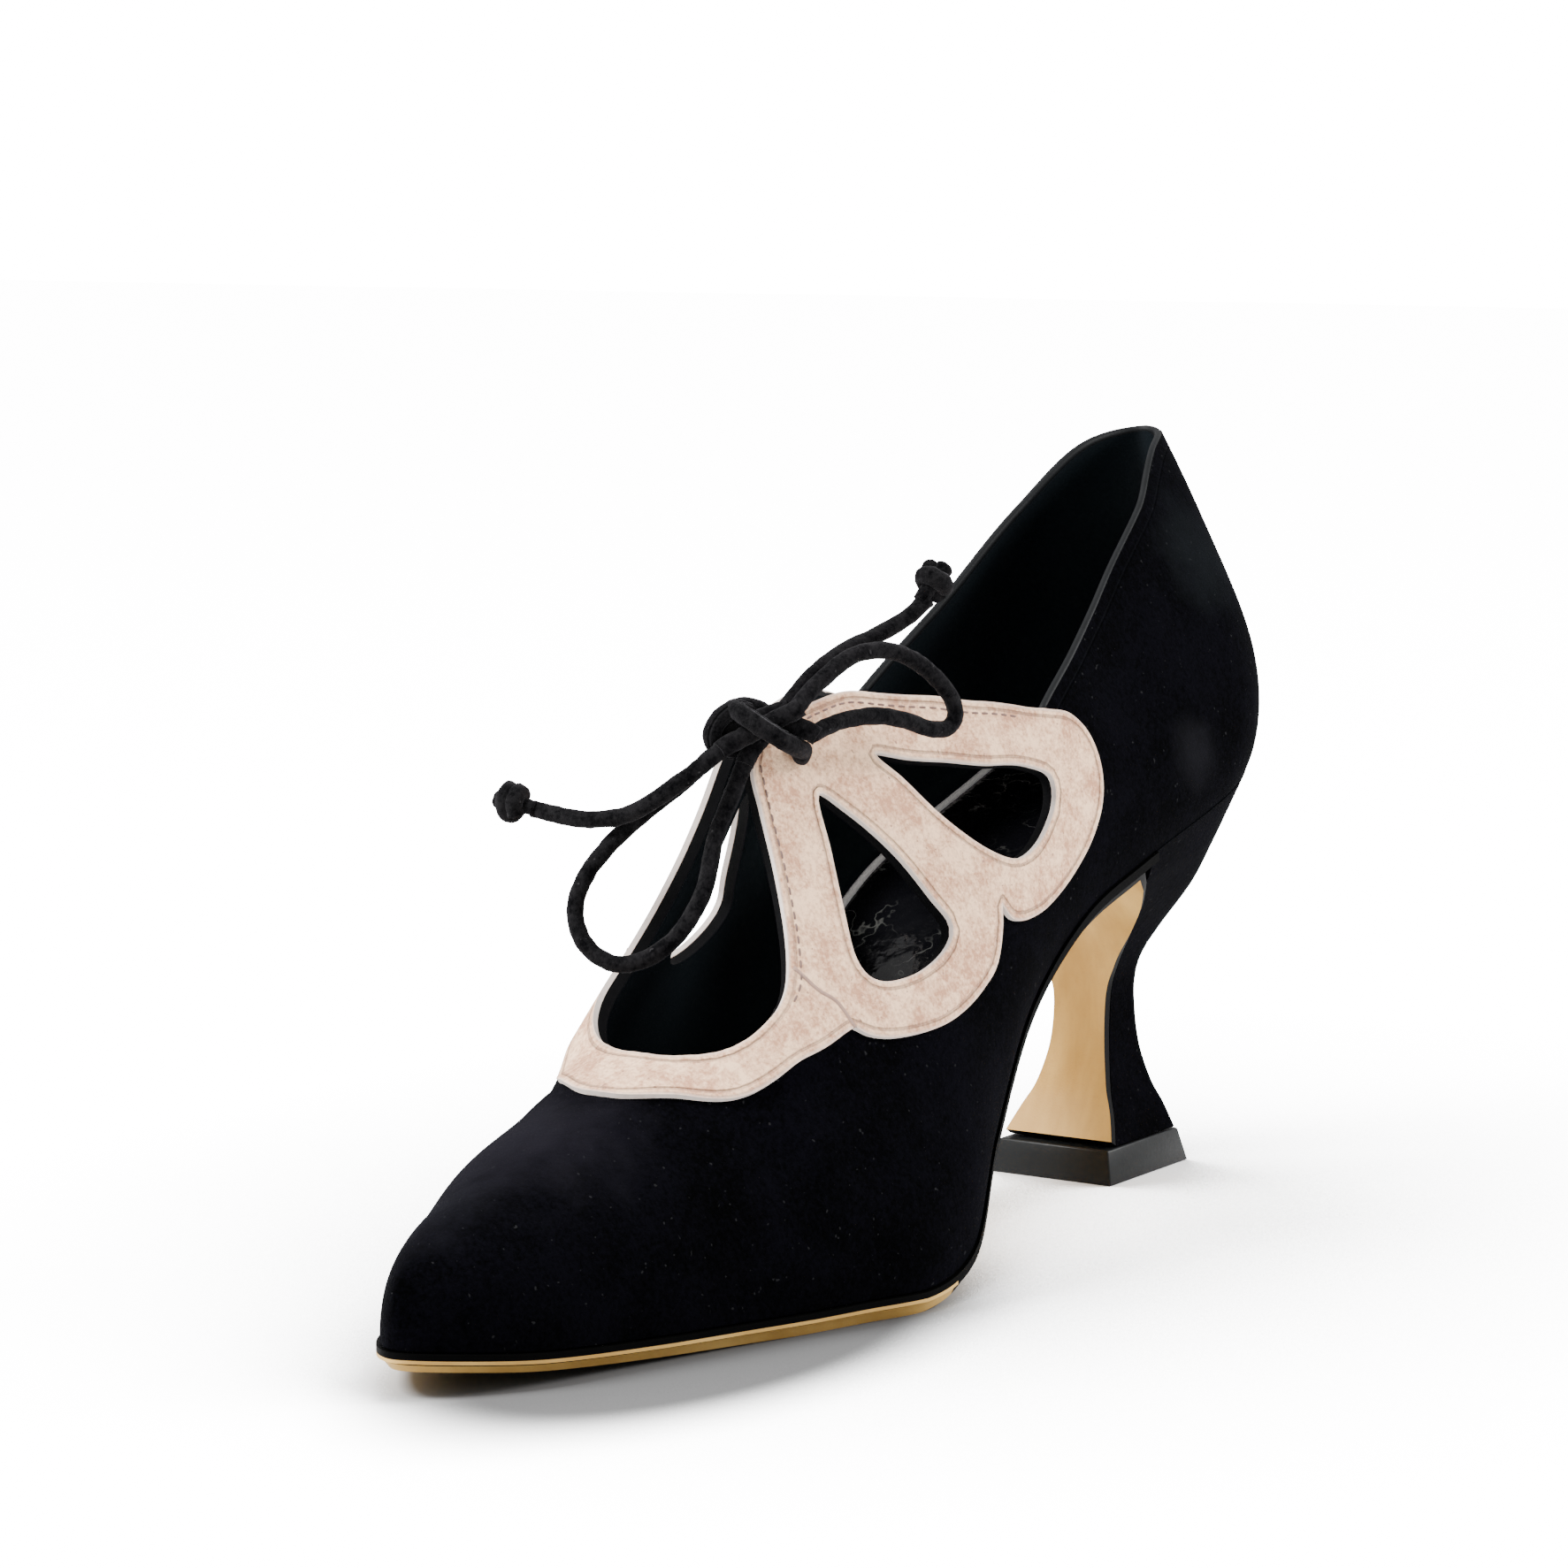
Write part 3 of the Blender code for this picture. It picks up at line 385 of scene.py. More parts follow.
shell = bmesh.new()
covered_mark = shell.faces.layers.int.new("overlay")
edge_layer = shell.verts.layers.float.new("edge_distance")
seam_layer = shell.verts.layers.float.new("seam_distance")
collar_layer = shell.verts.layers.float.new("collar_distance")
for side in (1, -1):
    surface, inward = surface_frame(pattern_along, pattern_up, side)
    surface = surface + inward * crease_depth(pattern_places, side)[:, None]
    edge_run = np.concatenate([last_point(*from_pattern(line), side) for line in overlay_edges])
    to_edge = distances(surface, edge_run)
    to_seam = distances(surface, last_point(*from_pattern(seam_line), side))
    to_collar = distances(surface, last_point(*from_pattern(collar_run), side))
    corners = [shell.verts.new(point) for point in surface]
    for k, corner in enumerate(corners):
        corner[edge_layer] = to_edge[k]
        corner[seam_layer] = to_seam[k]
        corner[collar_layer] = to_collar[k]
    for face, covered in zip(pattern_faces.tolist(), pattern_covered.tolist()):
        made = shell.faces.new([corners[k] for k in (reversed(face) if side > 0 else face)])
        made[covered_mark] = int(covered)
        made.smooth = True
unused = [corner for corner in shell.verts if not corner.link_faces]
bmesh.ops.delete(shell, geom=unused, context="VERTS")
bmesh.ops.remove_doubles(shell, verts=shell.verts, dist=MERGE_DISTANCE)
shell.normal_update()


def add_piece(name, mesh, materials):
    """Link a mesh as a piece of the shoe."""
    piece = bpy.data.objects.new(name, mesh)
    for material in materials:
        mesh.materials.append(material)
    bpy.context.scene.collection.objects.link(piece)
    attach(piece, "root")
    return piece


def close_piece(name, build, materials):
    """Turn a built mesh into a piece, with its faces all facing out."""
    bmesh.ops.recalc_face_normals(build, faces=build.faces)
    mesh = bpy.data.meshes.new(name)
    build.to_mesh(mesh)
    build.free()
    return add_piece(name, mesh, materials)


def close_block(name, build, materials, sharp_angle):
    """Merge a built mesh's double corners, and make it a smooth piece with sharp edges."""
    bmesh.ops.remove_doubles(build, verts=build.verts, dist=MERGE_DISTANCE)
    bmesh.ops.dissolve_degenerate(build, edges=build.edges, dist=MERGE_DISTANCE / 2)
    for face in build.faces:
        face.smooth = True
    piece = close_piece(name, build, materials)
    piece.data.set_sharp_from_angle(angle=radians(sharp_angle))
    return piece


def add_wall(piece, thickness, offset, inner_slot, rim_slot):
    """Turn a piece's surface into a wall, and mark its sharp edges."""
    wall = piece.modifiers.new("Wall", "SOLIDIFY")
    wall.thickness = thickness
    wall.offset = offset
    wall.use_even_offset = True
    wall.material_offset = inner_slot
    wall.material_offset_rim = rim_slot
    bpy.ops.object.select_all(action="DESELECT")
    bpy.context.view_layer.objects.active = piece
    piece.select_set(True)
    bpy.ops.object.modifier_apply(modifier=wall.name)
    piece.select_set(False)
    piece.data.set_sharp_from_angle(angle=radians(50))


def new_material(name, roughness):
    """A material with its shader and its tree."""
    material = bpy.data.materials.new(name)
    material.use_nodes = True
    shader = material.node_tree.nodes["Principled BSDF"]
    shader.inputs["Roughness"].default_value = roughness
    return material, shader, material.node_tree


def feed(tree, sockets, values):
    """Give each socket a value, or link it to another node's output."""
    for socket, value in zip(sockets, values):
        if isinstance(value, bpy.types.NodeSocket):
            tree.links.new(value, socket)
        else:
            socket.default_value = value


def maths(tree, operation, *values):
    """The output of a Math node."""
    node = tree.nodes.new("ShaderNodeMath")
    node.operation = operation
    feed(tree, node.inputs, values)
    return node.outputs[0]


def blend_colours(tree, share, first, second):
    """The output of a colour Mix node; the colours are sockets, or red, green and blue."""
    node = tree.nodes.new("ShaderNodeMix")
    node.data_type = "RGBA"
    colours = [(*value, 1.0) if isinstance(value, tuple) else value for value in (first, second)]
    feed(tree, (node.inputs[0], node.inputs[6], node.inputs[7]), (share, *colours))
    return node.outputs[2]


def ramp(tree, value, low, high, first=0.0, last=1.0):
    """A smooth step of a value."""
    node = tree.nodes.new("ShaderNodeMapRange")
    node.interpolation_type = "SMOOTHSTEP"
    feed(tree, node.inputs[:5], (value, low, high, first, last))
    return node.outputs[0]


def line_mask(tree, value, middle, reach, strength=1.0):
    """A soft line where a value is close to middle."""
    away = maths(tree, "ABSOLUTE", maths(tree, "SUBTRACT", value, middle))
    return ramp(tree, away, 0.0, reach, strength, 0.0)


def object_place(tree):
    """Places in the shoe's own metres."""
    return tree.nodes.new("ShaderNodeTexCoord").outputs["Object"]


def noise(tree, vector, scale, detail=2.0, roughness=0.5):
    """The output of a Noise texture, in features per metre."""
    node = tree.nodes.new("ShaderNodeTexNoise")
    sockets = [node.inputs[name] for name in ("Vector", "Scale", "Detail", "Roughness")]
    feed(tree, sockets, (vector, scale, detail, roughness))
    return node.outputs[0]


def attribute(tree, name):
    """The value of a float attribute of the mesh."""
    node = tree.nodes.new("ShaderNodeAttribute")
    node.attribute_name = name
    return node.outputs["Fac"]


# A fine grain for bumps: features per metre, octaves, their roughness, depth and strength
Grain = namedtuple("Grain", "scale detail roughness distance strength")


def add_grain(tree, shader, place, grain, height=None):
    """Bump a shader by a grain, or by a height that is given."""
    bump = tree.nodes.new("ShaderNodeBump")
    bump.inputs["Distance"].default_value = grain.distance
    bump.inputs["Strength"].default_value = grain.strength
    if height is None:
        height = noise(tree, place, grain.scale, grain.detail, grain.roughness)
    tree.links.new(height, bump.inputs["Height"])
    tree.links.new(bump.outputs[0], shader.inputs["Normal"])


def mottled(name, roughness, first, second, scale, detail=2.0, specular=0.5, grain=None):
    """A material whose colour drifts between two, with a bump where a grain is given."""
    material, shader, tree = new_material(name, roughness)
    shader.inputs["Specular IOR Level"].default_value = specular
    place = object_place(tree)
    colour = blend_colours(tree, noise(tree, place, scale, detail), first, second)
    tree.links.new(colour, shader.inputs["Base Color"])
    if grain:
        add_grain(tree, shader, place, grain)
    return material


NAP_SCALE = 1500.0
TUFT_SCALE = 800.0
FIBRE_SCALE = 4200.0
FLECK_SCALE = 900.0
NAP_CONTRAST = 2.0
TUFT_CONTRAST = 1.9
NAP_DEPTH = 0.00022


def suede_nap():
    """Group: suede's colour and bump, brushed lighter and darker in soft patches."""
    group = bpy.data.node_groups.new("suede nap", "ShaderNodeTree")
    for name, kind in (("Dark", "NodeSocketColor"), ("Light", "NodeSocketColor"),
                       ("Fleck", "NodeSocketColor"), ("Patch Size", "NodeSocketFloat"),
                       ("Height", "NodeSocketFloat"), ("Strength", "NodeSocketFloat")):
        group.interface.new_socket(name, in_out="INPUT", socket_type=kind)
    group.interface.new_socket("Color", in_out="OUTPUT", socket_type="NodeSocketColor")
    group.interface.new_socket("Normal", in_out="OUTPUT", socket_type="NodeSocketVector")
    given = group.nodes.new("NodeGroupInput")
    made = group.nodes.new("NodeGroupOutput")
    place = object_place(group)
    patch = noise(group, place, given.outputs["Patch Size"], 4.0, 0.62)
    nap = noise(group, place, NAP_SCALE, 3.0, 0.65)
    tufts = noise(group, place, TUFT_SCALE, 3.0, 0.7)
    fibre = noise(group, place, FIBRE_SCALE, 2.0, 0.6)
    share = ramp(group, patch, 0.24, 0.76)
    for grain, contrast in ((nap, NAP_CONTRAST), (tufts, TUFT_CONTRAST)):
        around = maths(group, "SUBTRACT", grain, 0.5)
        share = maths(group, "ADD", share, maths(group, "MULTIPLY", around, contrast))
    colour = blend_colours(group, share, given.outputs["Dark"], given.outputs["Light"])
    fleck = ramp(group, noise(group, place, FLECK_SCALE, 1.0, 0.5), 0.735, 0.775)
    colour = blend_colours(group, fleck, colour, given.outputs["Fleck"])
    group.links.new(colour, made.inputs["Color"])
    height = given.outputs["Height"]
    for grain, depth in ((nap, 0.6), (fibre, 0.4), (tufts, 0.8)):
        height = maths(group, "ADD", height, maths(group, "MULTIPLY", grain, depth))
    bump = group.nodes.new("ShaderNodeBump")
    bump.inputs["Distance"].default_value = NAP_DEPTH
    group.links.new(height, bump.inputs["Height"])
    group.links.new(given.outputs["Strength"], bump.inputs["Strength"])
    group.links.new(bump.outputs[0], made.inputs["Normal"])
    return group


nap_group = suede_nap()


def add_nap(tree, shader, dark, light, fleck, patch_size, strength, height=0.0):
    """Place the suede group in a material and wire it to the shader's normal."""
    node = tree.nodes.new("ShaderNodeGroup")
    node.node_tree = nap_group
    colours = [(*colour, 1.0) for colour in (dark, light, fleck)]
    names = ("Dark", "Light", "Fleck", "Patch Size", "Strength", "Height")
    feed(tree, [node.inputs[name] for name in names], (*colours, patch_size, strength, height))
    tree.links.new(node.outputs["Normal"], shader.inputs["Normal"])
    return node.outputs["Color"]


def set_suede(shader, sheen, tint):
    """The fixed values that suede shares: no gloss, and a soft bloom of fibres."""
    shader.inputs["Specular IOR Level"].default_value = 0.012
    shader.inputs["Sheen Weight"].default_value = sheen
    shader.inputs["Sheen Roughness"].default_value = 0.45
    shader.inputs["Sheen Tint"].default_value = (*tint, 1.0)


COLLAR_STITCH = 0.0024

# Painted highlights: soft lighter patches of the nap where the light falls on the toe and the back,
# partly nap brushed the other way: middle, reach, colour and how strong
BRUSHED_AND_LIT = [((0.017, 0.007, 0.118), 0.016, (0.0072, 0.0086, 0.0098), 0.65),
           ((0.030, -0.010, 0.083), 0.010, (0.0100, 0.0100, 0.0120), 0.55),
           ((-0.009, -0.172, 0.032), 0.026, (0.0095, 0.0088, 0.0120), 0.80),
           ((-0.012, -0.194, 0.021), 0.020, (0.0080, 0.0078, 0.0105), 0.75)]
black_suede, shader, tree = new_material("black suede", 0.95)
set_suede(shader, 0.010, (0.60, 0.62, 0.75))
stitched = line_mask(tree, attribute(tree, "collar_distance"), COLLAR_STITCH, 0.0004)
nap_colour = add_nap(tree, shader, dark=(0.0002, 0.0002, 0.0003), light=(0.0016, 0.0015, 0.0027),
                     fleck=(0.012, 0.012, 0.013), patch_size=55.0, strength=0.8,
                     height=maths(tree, "MULTIPLY", stitched, -2.0))
place = object_place(tree)
# Blend the painted highlights into the nap's colour
for middle, reach, tint, amount in BRUSHED_AND_LIT:
    away = tree.nodes.new("ShaderNodeVectorMath")
    away.operation = "DISTANCE"
    feed(tree, away.inputs[:2], (place, middle))
    wander = maths(tree, "MULTIPLY", noise(tree, place, 130.0, 3.0), reach * 0.7)
    ragged = maths(tree, "ADD", away.outputs["Value"], wander)
    share = ramp(tree, ragged, reach * 0.45, reach * 1.35, amount, 0.0)
    nap_colour = blend_colours(tree, share, nap_colour, tint)
tree.links.new(nap_colour, shader.inputs["Base Color"])

lining = mottled("black lining", 0.55, (0.003, 0.0045, 0.006), (0.010, 0.014, 0.017), scale=45.0,
                 detail=3.0, specular=0.08, grain=Grain(1100.0, 3.0, 0.6, 0.00012, 0.35))
cut_edge = mottled("black cut edge", 0.8, (0.0012, 0.0012, 0.0015), (0.0040, 0.0040, 0.0045),
                   scale=700.0, specular=0.06)

upper_mesh = bpy.data.meshes.new("suede_upper")
shell.to_mesh(upper_mesh)
upper = add_piece("suede_upper", upper_mesh, (black_suede, lining, cut_edge))
add_wall(upper, UPPER_WALL, offset=-1.0, inner_slot=1, rim_slot=2)
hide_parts("upper")

# Collar binding
# A narrow strip of black leather, turned over the topline. It is built as a thin round tube
# along the middle of the wall's edge.
BINDING_RADIUS = 0.00080


def circle(first, second, count):
    """Directions at even steps round a circle, starting at the first."""
    angles = [2 * pi * j / count for j in range(count)]
    return [first * cos(angle) + second * sin(angle) for angle in angles]


def bridge(build, ring, following):
    """Smooth faces from one ring of corners to the next."""
    faces = []
    for j in range(len(ring)):
        beside = (j + 1) % len(ring)
        faces.append(build.faces.new((ring[j], ring[beside], following[beside], following[j])))
        faces[-1].smooth = True
    return faces


def tube(name, route, radius, material, sides=16, step=0.0009, fuzz=0.0):
    """A round cord along a route, with UVs round it and along it in metres. The radius is one
    number, or several for the length; fuzz makes the surface uneven."""
    run = curve_through(route, step=step)
    ahead = np.gradient(run, axis=0)
    ahead /= np.linalg.norm(ahead, axis=1)[:, None]
    gone = distance_run(run)
    side_way = Vector(ahead[0]).orthogonal().normalized()
    build = bmesh.new()
    uv = build.loops.layers.uv.new("UVMap")
    rings = []
    uneven = np.random.default_rng(len(run)).normal(size=(len(run), sides))
    uneven = 1.0 + fuzz * (uneven + np.roll(uneven, 1, axis=0) + np.roll(uneven, 1, axis=1)) / 3
    for k, (point, way) in enumerate(zip(run, ahead)):
        way = Vector(way)
        side_way = (side_way - way * side_way.dot(way)).normalized()
        thick = radius
        if isinstance(radius, tuple):
            thick = radius[k * (len(radius) - 1) // (len(run) - 1)]
        ways = circle(side_way, way.cross(side_way), sides)
        rings.append([build.verts.new(Vector(point) + outwards * thick * swell)
                      for outwards, swell in zip(ways, uneven[k])])
    for k, (ring, following) in enumerate(zip(rings[:-1], rings[1:])):
        for j, face in enumerate(bridge(build, ring, following)):
            places = ((j, gone[k]), (j + 1, gone[k]), (j + 1, gone[k + 1]), (j, gone[k + 1]))
            for loop, (u, v) in zip(face.loops, places):
                loop[uv].uv = (u / sides, v)
    build.faces.new(rings[0][::-1])
    build.faces.new(rings[-1])
    return close_piece(name, build, (material,)), run


def inner_middle(rows, side, depth):
    """Points of a line on the last, sunk into the wall by depth."""
    surface, inward = surface_frame(*from_pattern(rows), side)
    return surface + inward * depth


binding_leather = mottled("binding leather", 0.6, (0.0015, 0.0018, 0.002),
                          (0.0060, 0.0068, 0.0080), scale=260.0, specular=0.15,
                          grain=Grain(1600.0, 3.0, 0.5, 0.0001, 0.4))
left_edge = inner_middle(collar_line[1:], 1, UPPER_WALL / 2)
right_edge = inner_middle(collar_line[1:], -1, UPPER_WALL / 2)
tube("collar_binding", np.concatenate([left_edge[::-4], right_edge[3::4]]), BINDING_RADIUS,
     binding_leather, sides=12, step=0.0015)

# Petal overlay
# One piece of blush suede a millimetre thick, stitched over the wings and the throat. Its
# raw cut edge is pale, and a line is pressed into it next to every edge.
OVERLAY_THICKNESS = 0.0010
OVERLAY_LIFT = 0.00015
PRESSED_LINE = 0.0014

cover = shell.copy()
cover.faces.ensure_lookup_table()
mark = cover.faces.layers.int["overlay"]
lifted = {corner: corner.co + corner.normal * OVERLAY_LIFT for corner in cover.verts}
for corner, place in lifted.items():
    corner.co = place
uncovered = [face for face in cover.faces if not face[mark]]
bmesh.ops.delete(cover, geom=uncovered, context="FACES")
overlay_mesh = bpy.data.meshes.new("blush_overlay")
cover.to_mesh(overlay_mesh)
cover.free()
shell.free()

blush_suede, shader, tree = new_material("blush suede", 0.92)
set_suede(shader, 0.06, (1.0, 0.90, 0.85))
away = attribute(tree, "edge_distance")
pressed = line_mask(tree, away, PRESSED_LINE, 0.0004)
seam = ramp(tree, attribute(tree, "seam_distance"), 0.0, 0.0005, 1.0, 0.0)
rounded = ramp(tree, away, 0.0, 0.0007, -1.6, 0.0)
sunk = maths(tree, "MULTIPLY", maths(tree, "MAXIMUM", pressed, seam), -2.6)
colour = add_nap(tree, shader, dark=(0.54, 0.286, 0.180), light=(1.00, 0.672, 0.435),
                 fleck=(0.42, 0.24, 0.17), patch_size=150.0, strength=0.9,
                 height=maths(tree, "ADD", sunk, rounded))
# Near the cut edge the suede is lighter: pale raw suede, with a painted highlight where the rounded
# edge catches the light
pale_lit_edge = ramp(tree, away, 0.0002, 0.0007, 0.45, 0.0)
# Painted shade darkens the pressed line and the seam where the two leathers overlap; the pale, lit edge
# is laid on last
for share, tint in ((maths(tree, "MULTIPLY", pressed, 0.45), (0.24, 0.145, 0.115)),
                    (maths(tree, "MULTIPLY", seam, 0.75), (0.13, 0.065, 0.05)),
                    (pale_lit_edge, (0.88, 0.74, 0.66))):
    colour = blend_colours(tree, share, colour, tint)
tree.links.new(colour, shader.inputs["Base Color"])

blush_edge = mottled("blush cut edge", 0.9, (0.62, 0.51, 0.45), (0.86, 0.77, 0.71), scale=900.0,
                     detail=3.0)

overlay = add_piece("blush_overlay", overlay_mesh, (blush_suede, blush_edge))
add_wall(overlay, OVERLAY_THICKNESS, offset=1.0, inner_slot=0, rim_slot=1)
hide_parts("petal_overlay")

# Throat stitches
# One row of dark thread beside the throat and along the wings' tops. The stitches lie on the
# overlay, and nothing runs through the leather.
STITCH_LENGTH = 0.0015
STITCH_PITCH = 0.0022
STITCH_WIDTH = 0.00042
STITCH_INSET = 0.0024
STITCH_SIDES = 6
INSET_STEP = 0.0002
INSET_PASSES = 6
# A stitch's rings: share of its length from the middle, size and rise as shares of its width
STITCH_RINGS = [(-0.5, 0.35, -0.3), (-0.36, 0.9, 0.05), (0.0, 1.0, 0.25), (0.36, 0.9, 0.05),
                (0.5, 0.35, -0.3)]


def inset_line(rows, distance, side):
    """Places and normals on the overlay, a distance inside an edge that runs along rows."""
    line = curve_through(to_pattern(rows), step=INSET_STEP)
    way = np.gradient(line, axis=0)
    way /= np.linalg.norm(way, axis=1)[:, None]
    inward = np.stack([way[:, 1], -way[:, 0]], axis=-1)
    edge = last_point(*from_pattern(line), side)
    reach = np.full(len(line), distance)
    for _ in range(INSET_PASSES):
        moved = last_point(*from_pattern(line + inward * reach[:, None]), side)
        reach *= distance / np.maximum(np.linalg.norm(moved - edge, axis=1), 1e-6)
    surface, into = surface_frame(*from_pattern(line + inward * reach[:, None]), side)
    return surface, -into


def stitch_row(build, places, normals, lift):
    """Short rounded stitches, sunk a little into the surface, at even steps along a line."""
    run = distance_run(places)
    half = STITCH_WIDTH / 2

    def read(rows, at):
        return Vector([np.interp(at, run, rows[:, j]) for j in range(3)])

    for middle in np.arange(STITCH_PITCH, run[-1] - STITCH_PITCH / 2, STITCH_PITCH):
        start, end = (read(places, middle + d) for d in (-STITCH_LENGTH / 2, STITCH_LENGTH / 2))
        normal = read(normals, middle).normalized()
        way = (end - start).normalized()
        ways = circle(way.cross(normal), normal, STITCH_SIDES)
        rings = []
        for share, size, rise in STITCH_RINGS:
            centre = (start + end) / 2 + way * STITCH_LENGTH * share + normal * (lift + rise * half)
            rings.append([build.verts.new(centre + outwards * half * size) for outwards in ways])
        for ring, following in zip(rings[:-1], rings[1:]):
            bridge(build, ring, following)
        build.faces.new(rings[0])
        build.faces.new(rings[-1])


thread = mottled("dark thread", 0.75, (0.10, 0.06, 0.05), (0.22, 0.14, 0.115), scale=3000.0)
THROAT_STITCHES = THROAT[1:7]
build = bmesh.new()
for side in (1, -1):
    for rows in (THROAT_STITCHES, WING_TOP[1:-1]):
        places, normals = inset_line(rows, STITCH_INSET, side)
        stitch_row(build, places, normals, OVERLAY_LIFT + OVERLAY_THICKNESS)
close_piece("throat_stitches", build, (thread,))

# The overlay's two leathers overlap in a short raised seam from the throat to the notch
SEAM_RADIUS = 0.00045
seam_shade = mottled("seam shade", 0.9, (0.26, 0.155, 0.12), (0.46, 0.30, 0.235), scale=900.0)
for side, name in ((1, "left"), (-1, "right")):
    above = OVERLAY_LIFT + OVERLAY_THICKNESS - SEAM_RADIUS / 2
    tube("overlay_seam_" + name, inner_middle(seam_line[::3], side, -above), SEAM_RADIUS,
         seam_shade, sides=10, step=0.0008)

# Insole
# A thin board with a pale edge carries a sock of glossy black leather, cut a little smaller
# and glued on. The place for a name stays bare.
INSOLE_THICKNESS = 0.0022
SOCK_THICKNESS = 0.0007
SOCK_INSET = 0.0010
EDGE_STRIP_RADIUS = 0.00085
# Where the sock and its edge strip start and end, as shares of the shoe's length
SOCK_ENDS = (0.004, 0.996)
STRIP_ENDS = (0.01, 0.985)
PLATE_ROWS = 150
PLATE_COLUMNS = 14


def bottom_edge(turn_share, side, step):
    """A point of the last's lower edge in plan, moved inwards by step."""
    nudge = 0.002
    low, high = max(0.0, turn_share - nudge), min(1.0, turn_share + nudge)
    shares = (1.0 - np.cos(np.array([low, turn_share, high]) * pi)) / 2.0
    line = last_point(shares, 0.0, side)
    run = line[2, :2] - line[0, :2]
    if turn_share <= 0.0 or turn_share >= 1.0:
        run = np.array([1.0 if turn_share >= 1.0 else -1.0, 0.0])
        run = -run * side
    run = run / np.linalg.norm(run)
    inward = np.array([run[1], -run[0]]) * side
    return line[1, :2] + inward * step


def plate_rows(first, last, step, drop):
    """Rows of points across the last's bottom, drop below its edge."""
    start, end = (np.arccos(1.0 - 2.0 * share) / pi for share in (first, last))
    rows = []
    for share in np.linspace(start, end, PLATE_ROWS + 1):
        left = bottom_edge(share, 1, step)
        right = bottom_edge(share, -1, step)
        row = []
        for f in (1 - np.cos(np.linspace(0.0, pi, PLATE_COLUMNS + 1))) / 2:
            x, y = left + (right - left) * f
            along = np.clip((HEEL_OVERHANG - y) / SHOE_LENGTH, 0.0, 1.0)
            row.append((x, y, float(feather_height(along)) - drop))
        rows.append(row)
    return rows


def slab(name, upper_rows, lower_rows, materials, side_material):
    """A closed plate between two grids of points; side_material picks a side face's slot."""
    build = bmesh.new()
    top = [[build.verts.new(point) for point in row] for row in upper_rows]
    low = [[build.verts.new(point) for point in row] for row in lower_rows]
    last_row, last_column = len(top) - 1, len(top[0]) - 1
    sides = []
    for r in range(last_row):
        for c in range(last_column):
            build.faces.new((top[r][c], top[r][c + 1], top[r + 1][c + 1], top[r + 1][c]))
            under = build.faces.new((low[r][c], low[r + 1][c], low[r + 1][c + 1], low[r][c + 1]))
            under.material_index = 1
        for c in (0, last_column):
            sides.append(build.faces.new((top[r][c], top[r + 1][c], low[r + 1][c], low[r][c])))
    for r in (0, last_row):
        for c in range(last_column):
            sides.append(build.faces.new((top[r][c], top[r][c + 1], low[r][c + 1], low[r][c])))
    for face in sides:
        face.material_index = side_material(face.calc_center_median())
    return close_block(name, build, materials, 40)


glossy_sock, shader, tree = new_material("glossy black sock", 0.16)
shader.inputs["Specular IOR Level"].default_value = 0.35
place = object_place(tree)
add_grain(tree, shader, place, Grain(170.0, 3.0, 0.5, 0.0012, 0.35))
base = blend_colours(tree, noise(tree, place, 120.0), (0.0015, 0.0015, 0.002), (0.004, 0.004, 0.005))
# Painted reflections: light lines along the sock's crinkles, where its gloss would catch the light
crinkle_glint = line_mask(tree, noise(tree, place, 95.0, 3.0, 0.55), 0.5, 0.012)
crinkle_glint = maths(tree, "MULTIPLY", crinkle_glint, ramp(tree, noise(tree, place, 60.0), 0.45, 0.62))
colour = blend_colours(tree, crinkle_glint, base, (0.075, 0.075, 0.070))
tree.links.new(colour, shader.inputs["Base Color"])
gloss = ramp(tree, noise(tree, place, 380.0, 3.0), 0.3, 0.7, 0.10, 0.20)
tree.links.new(gloss, shader.inputs["Roughness"])

sock_edge = mottled("pale sock edge", 0.6, (0.86, 0.82, 0.78), (0.98, 0.94, 0.90), scale=500.0)

board_step = UPPER_WALL + 2 * CLEARANCE
board_top = CLEARANCE + INSOLE_THICKNESS - SOCK_THICKNESS
board = slab("insole_board", plate_rows(0.0, 1.0, board_step, -board_top),
             plate_rows(0.0, 1.0, board_step, -CLEARANCE), (sock_edge, sock_edge),
             lambda middle: 0)
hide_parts("insole")
sock_step = board_step + SOCK_INSET
slab("insole_sock", plate_rows(*SOCK_ENDS, sock_step, -board_top - SOCK_THICKNESS),
     plate_rows(*SOCK_ENDS, sock_step, -board_top), (glossy_sock, glossy_sock),
     lambda middle: 0)
edge_rows = plate_rows(*STRIP_ENDS, board_step + SOCK_INSET * 0.4, -board_top - SOCK_THICKNESS)
edge_route = [row[0] for row in edge_rows] + [row[-1] for row in edge_rows[::-1]]
tube("sock_edge_strip", edge_route, EDGE_STRIP_RADIUS, sock_edge, sides=8,
     step=0.003)

# Rand
# A thin strip of leather between the upper and the sole, inked black round its edge. Its
# lowest part is left bare round the forepart.
RAND_STEP = -0.0006
SEAT_FRONT = 0.0205
BARE_EDGE = 0.0006
PAINT_START = -0.111

edge_ink = mottled("black edge ink", 0.6, (0.0003, 0.0003, 0.0003), (0.0010, 0.0010, 0.0010),
                   scale=300.0, specular=0.03, grain=Grain(800.0, 3.0, 0.5, 0.0001, 0.35))

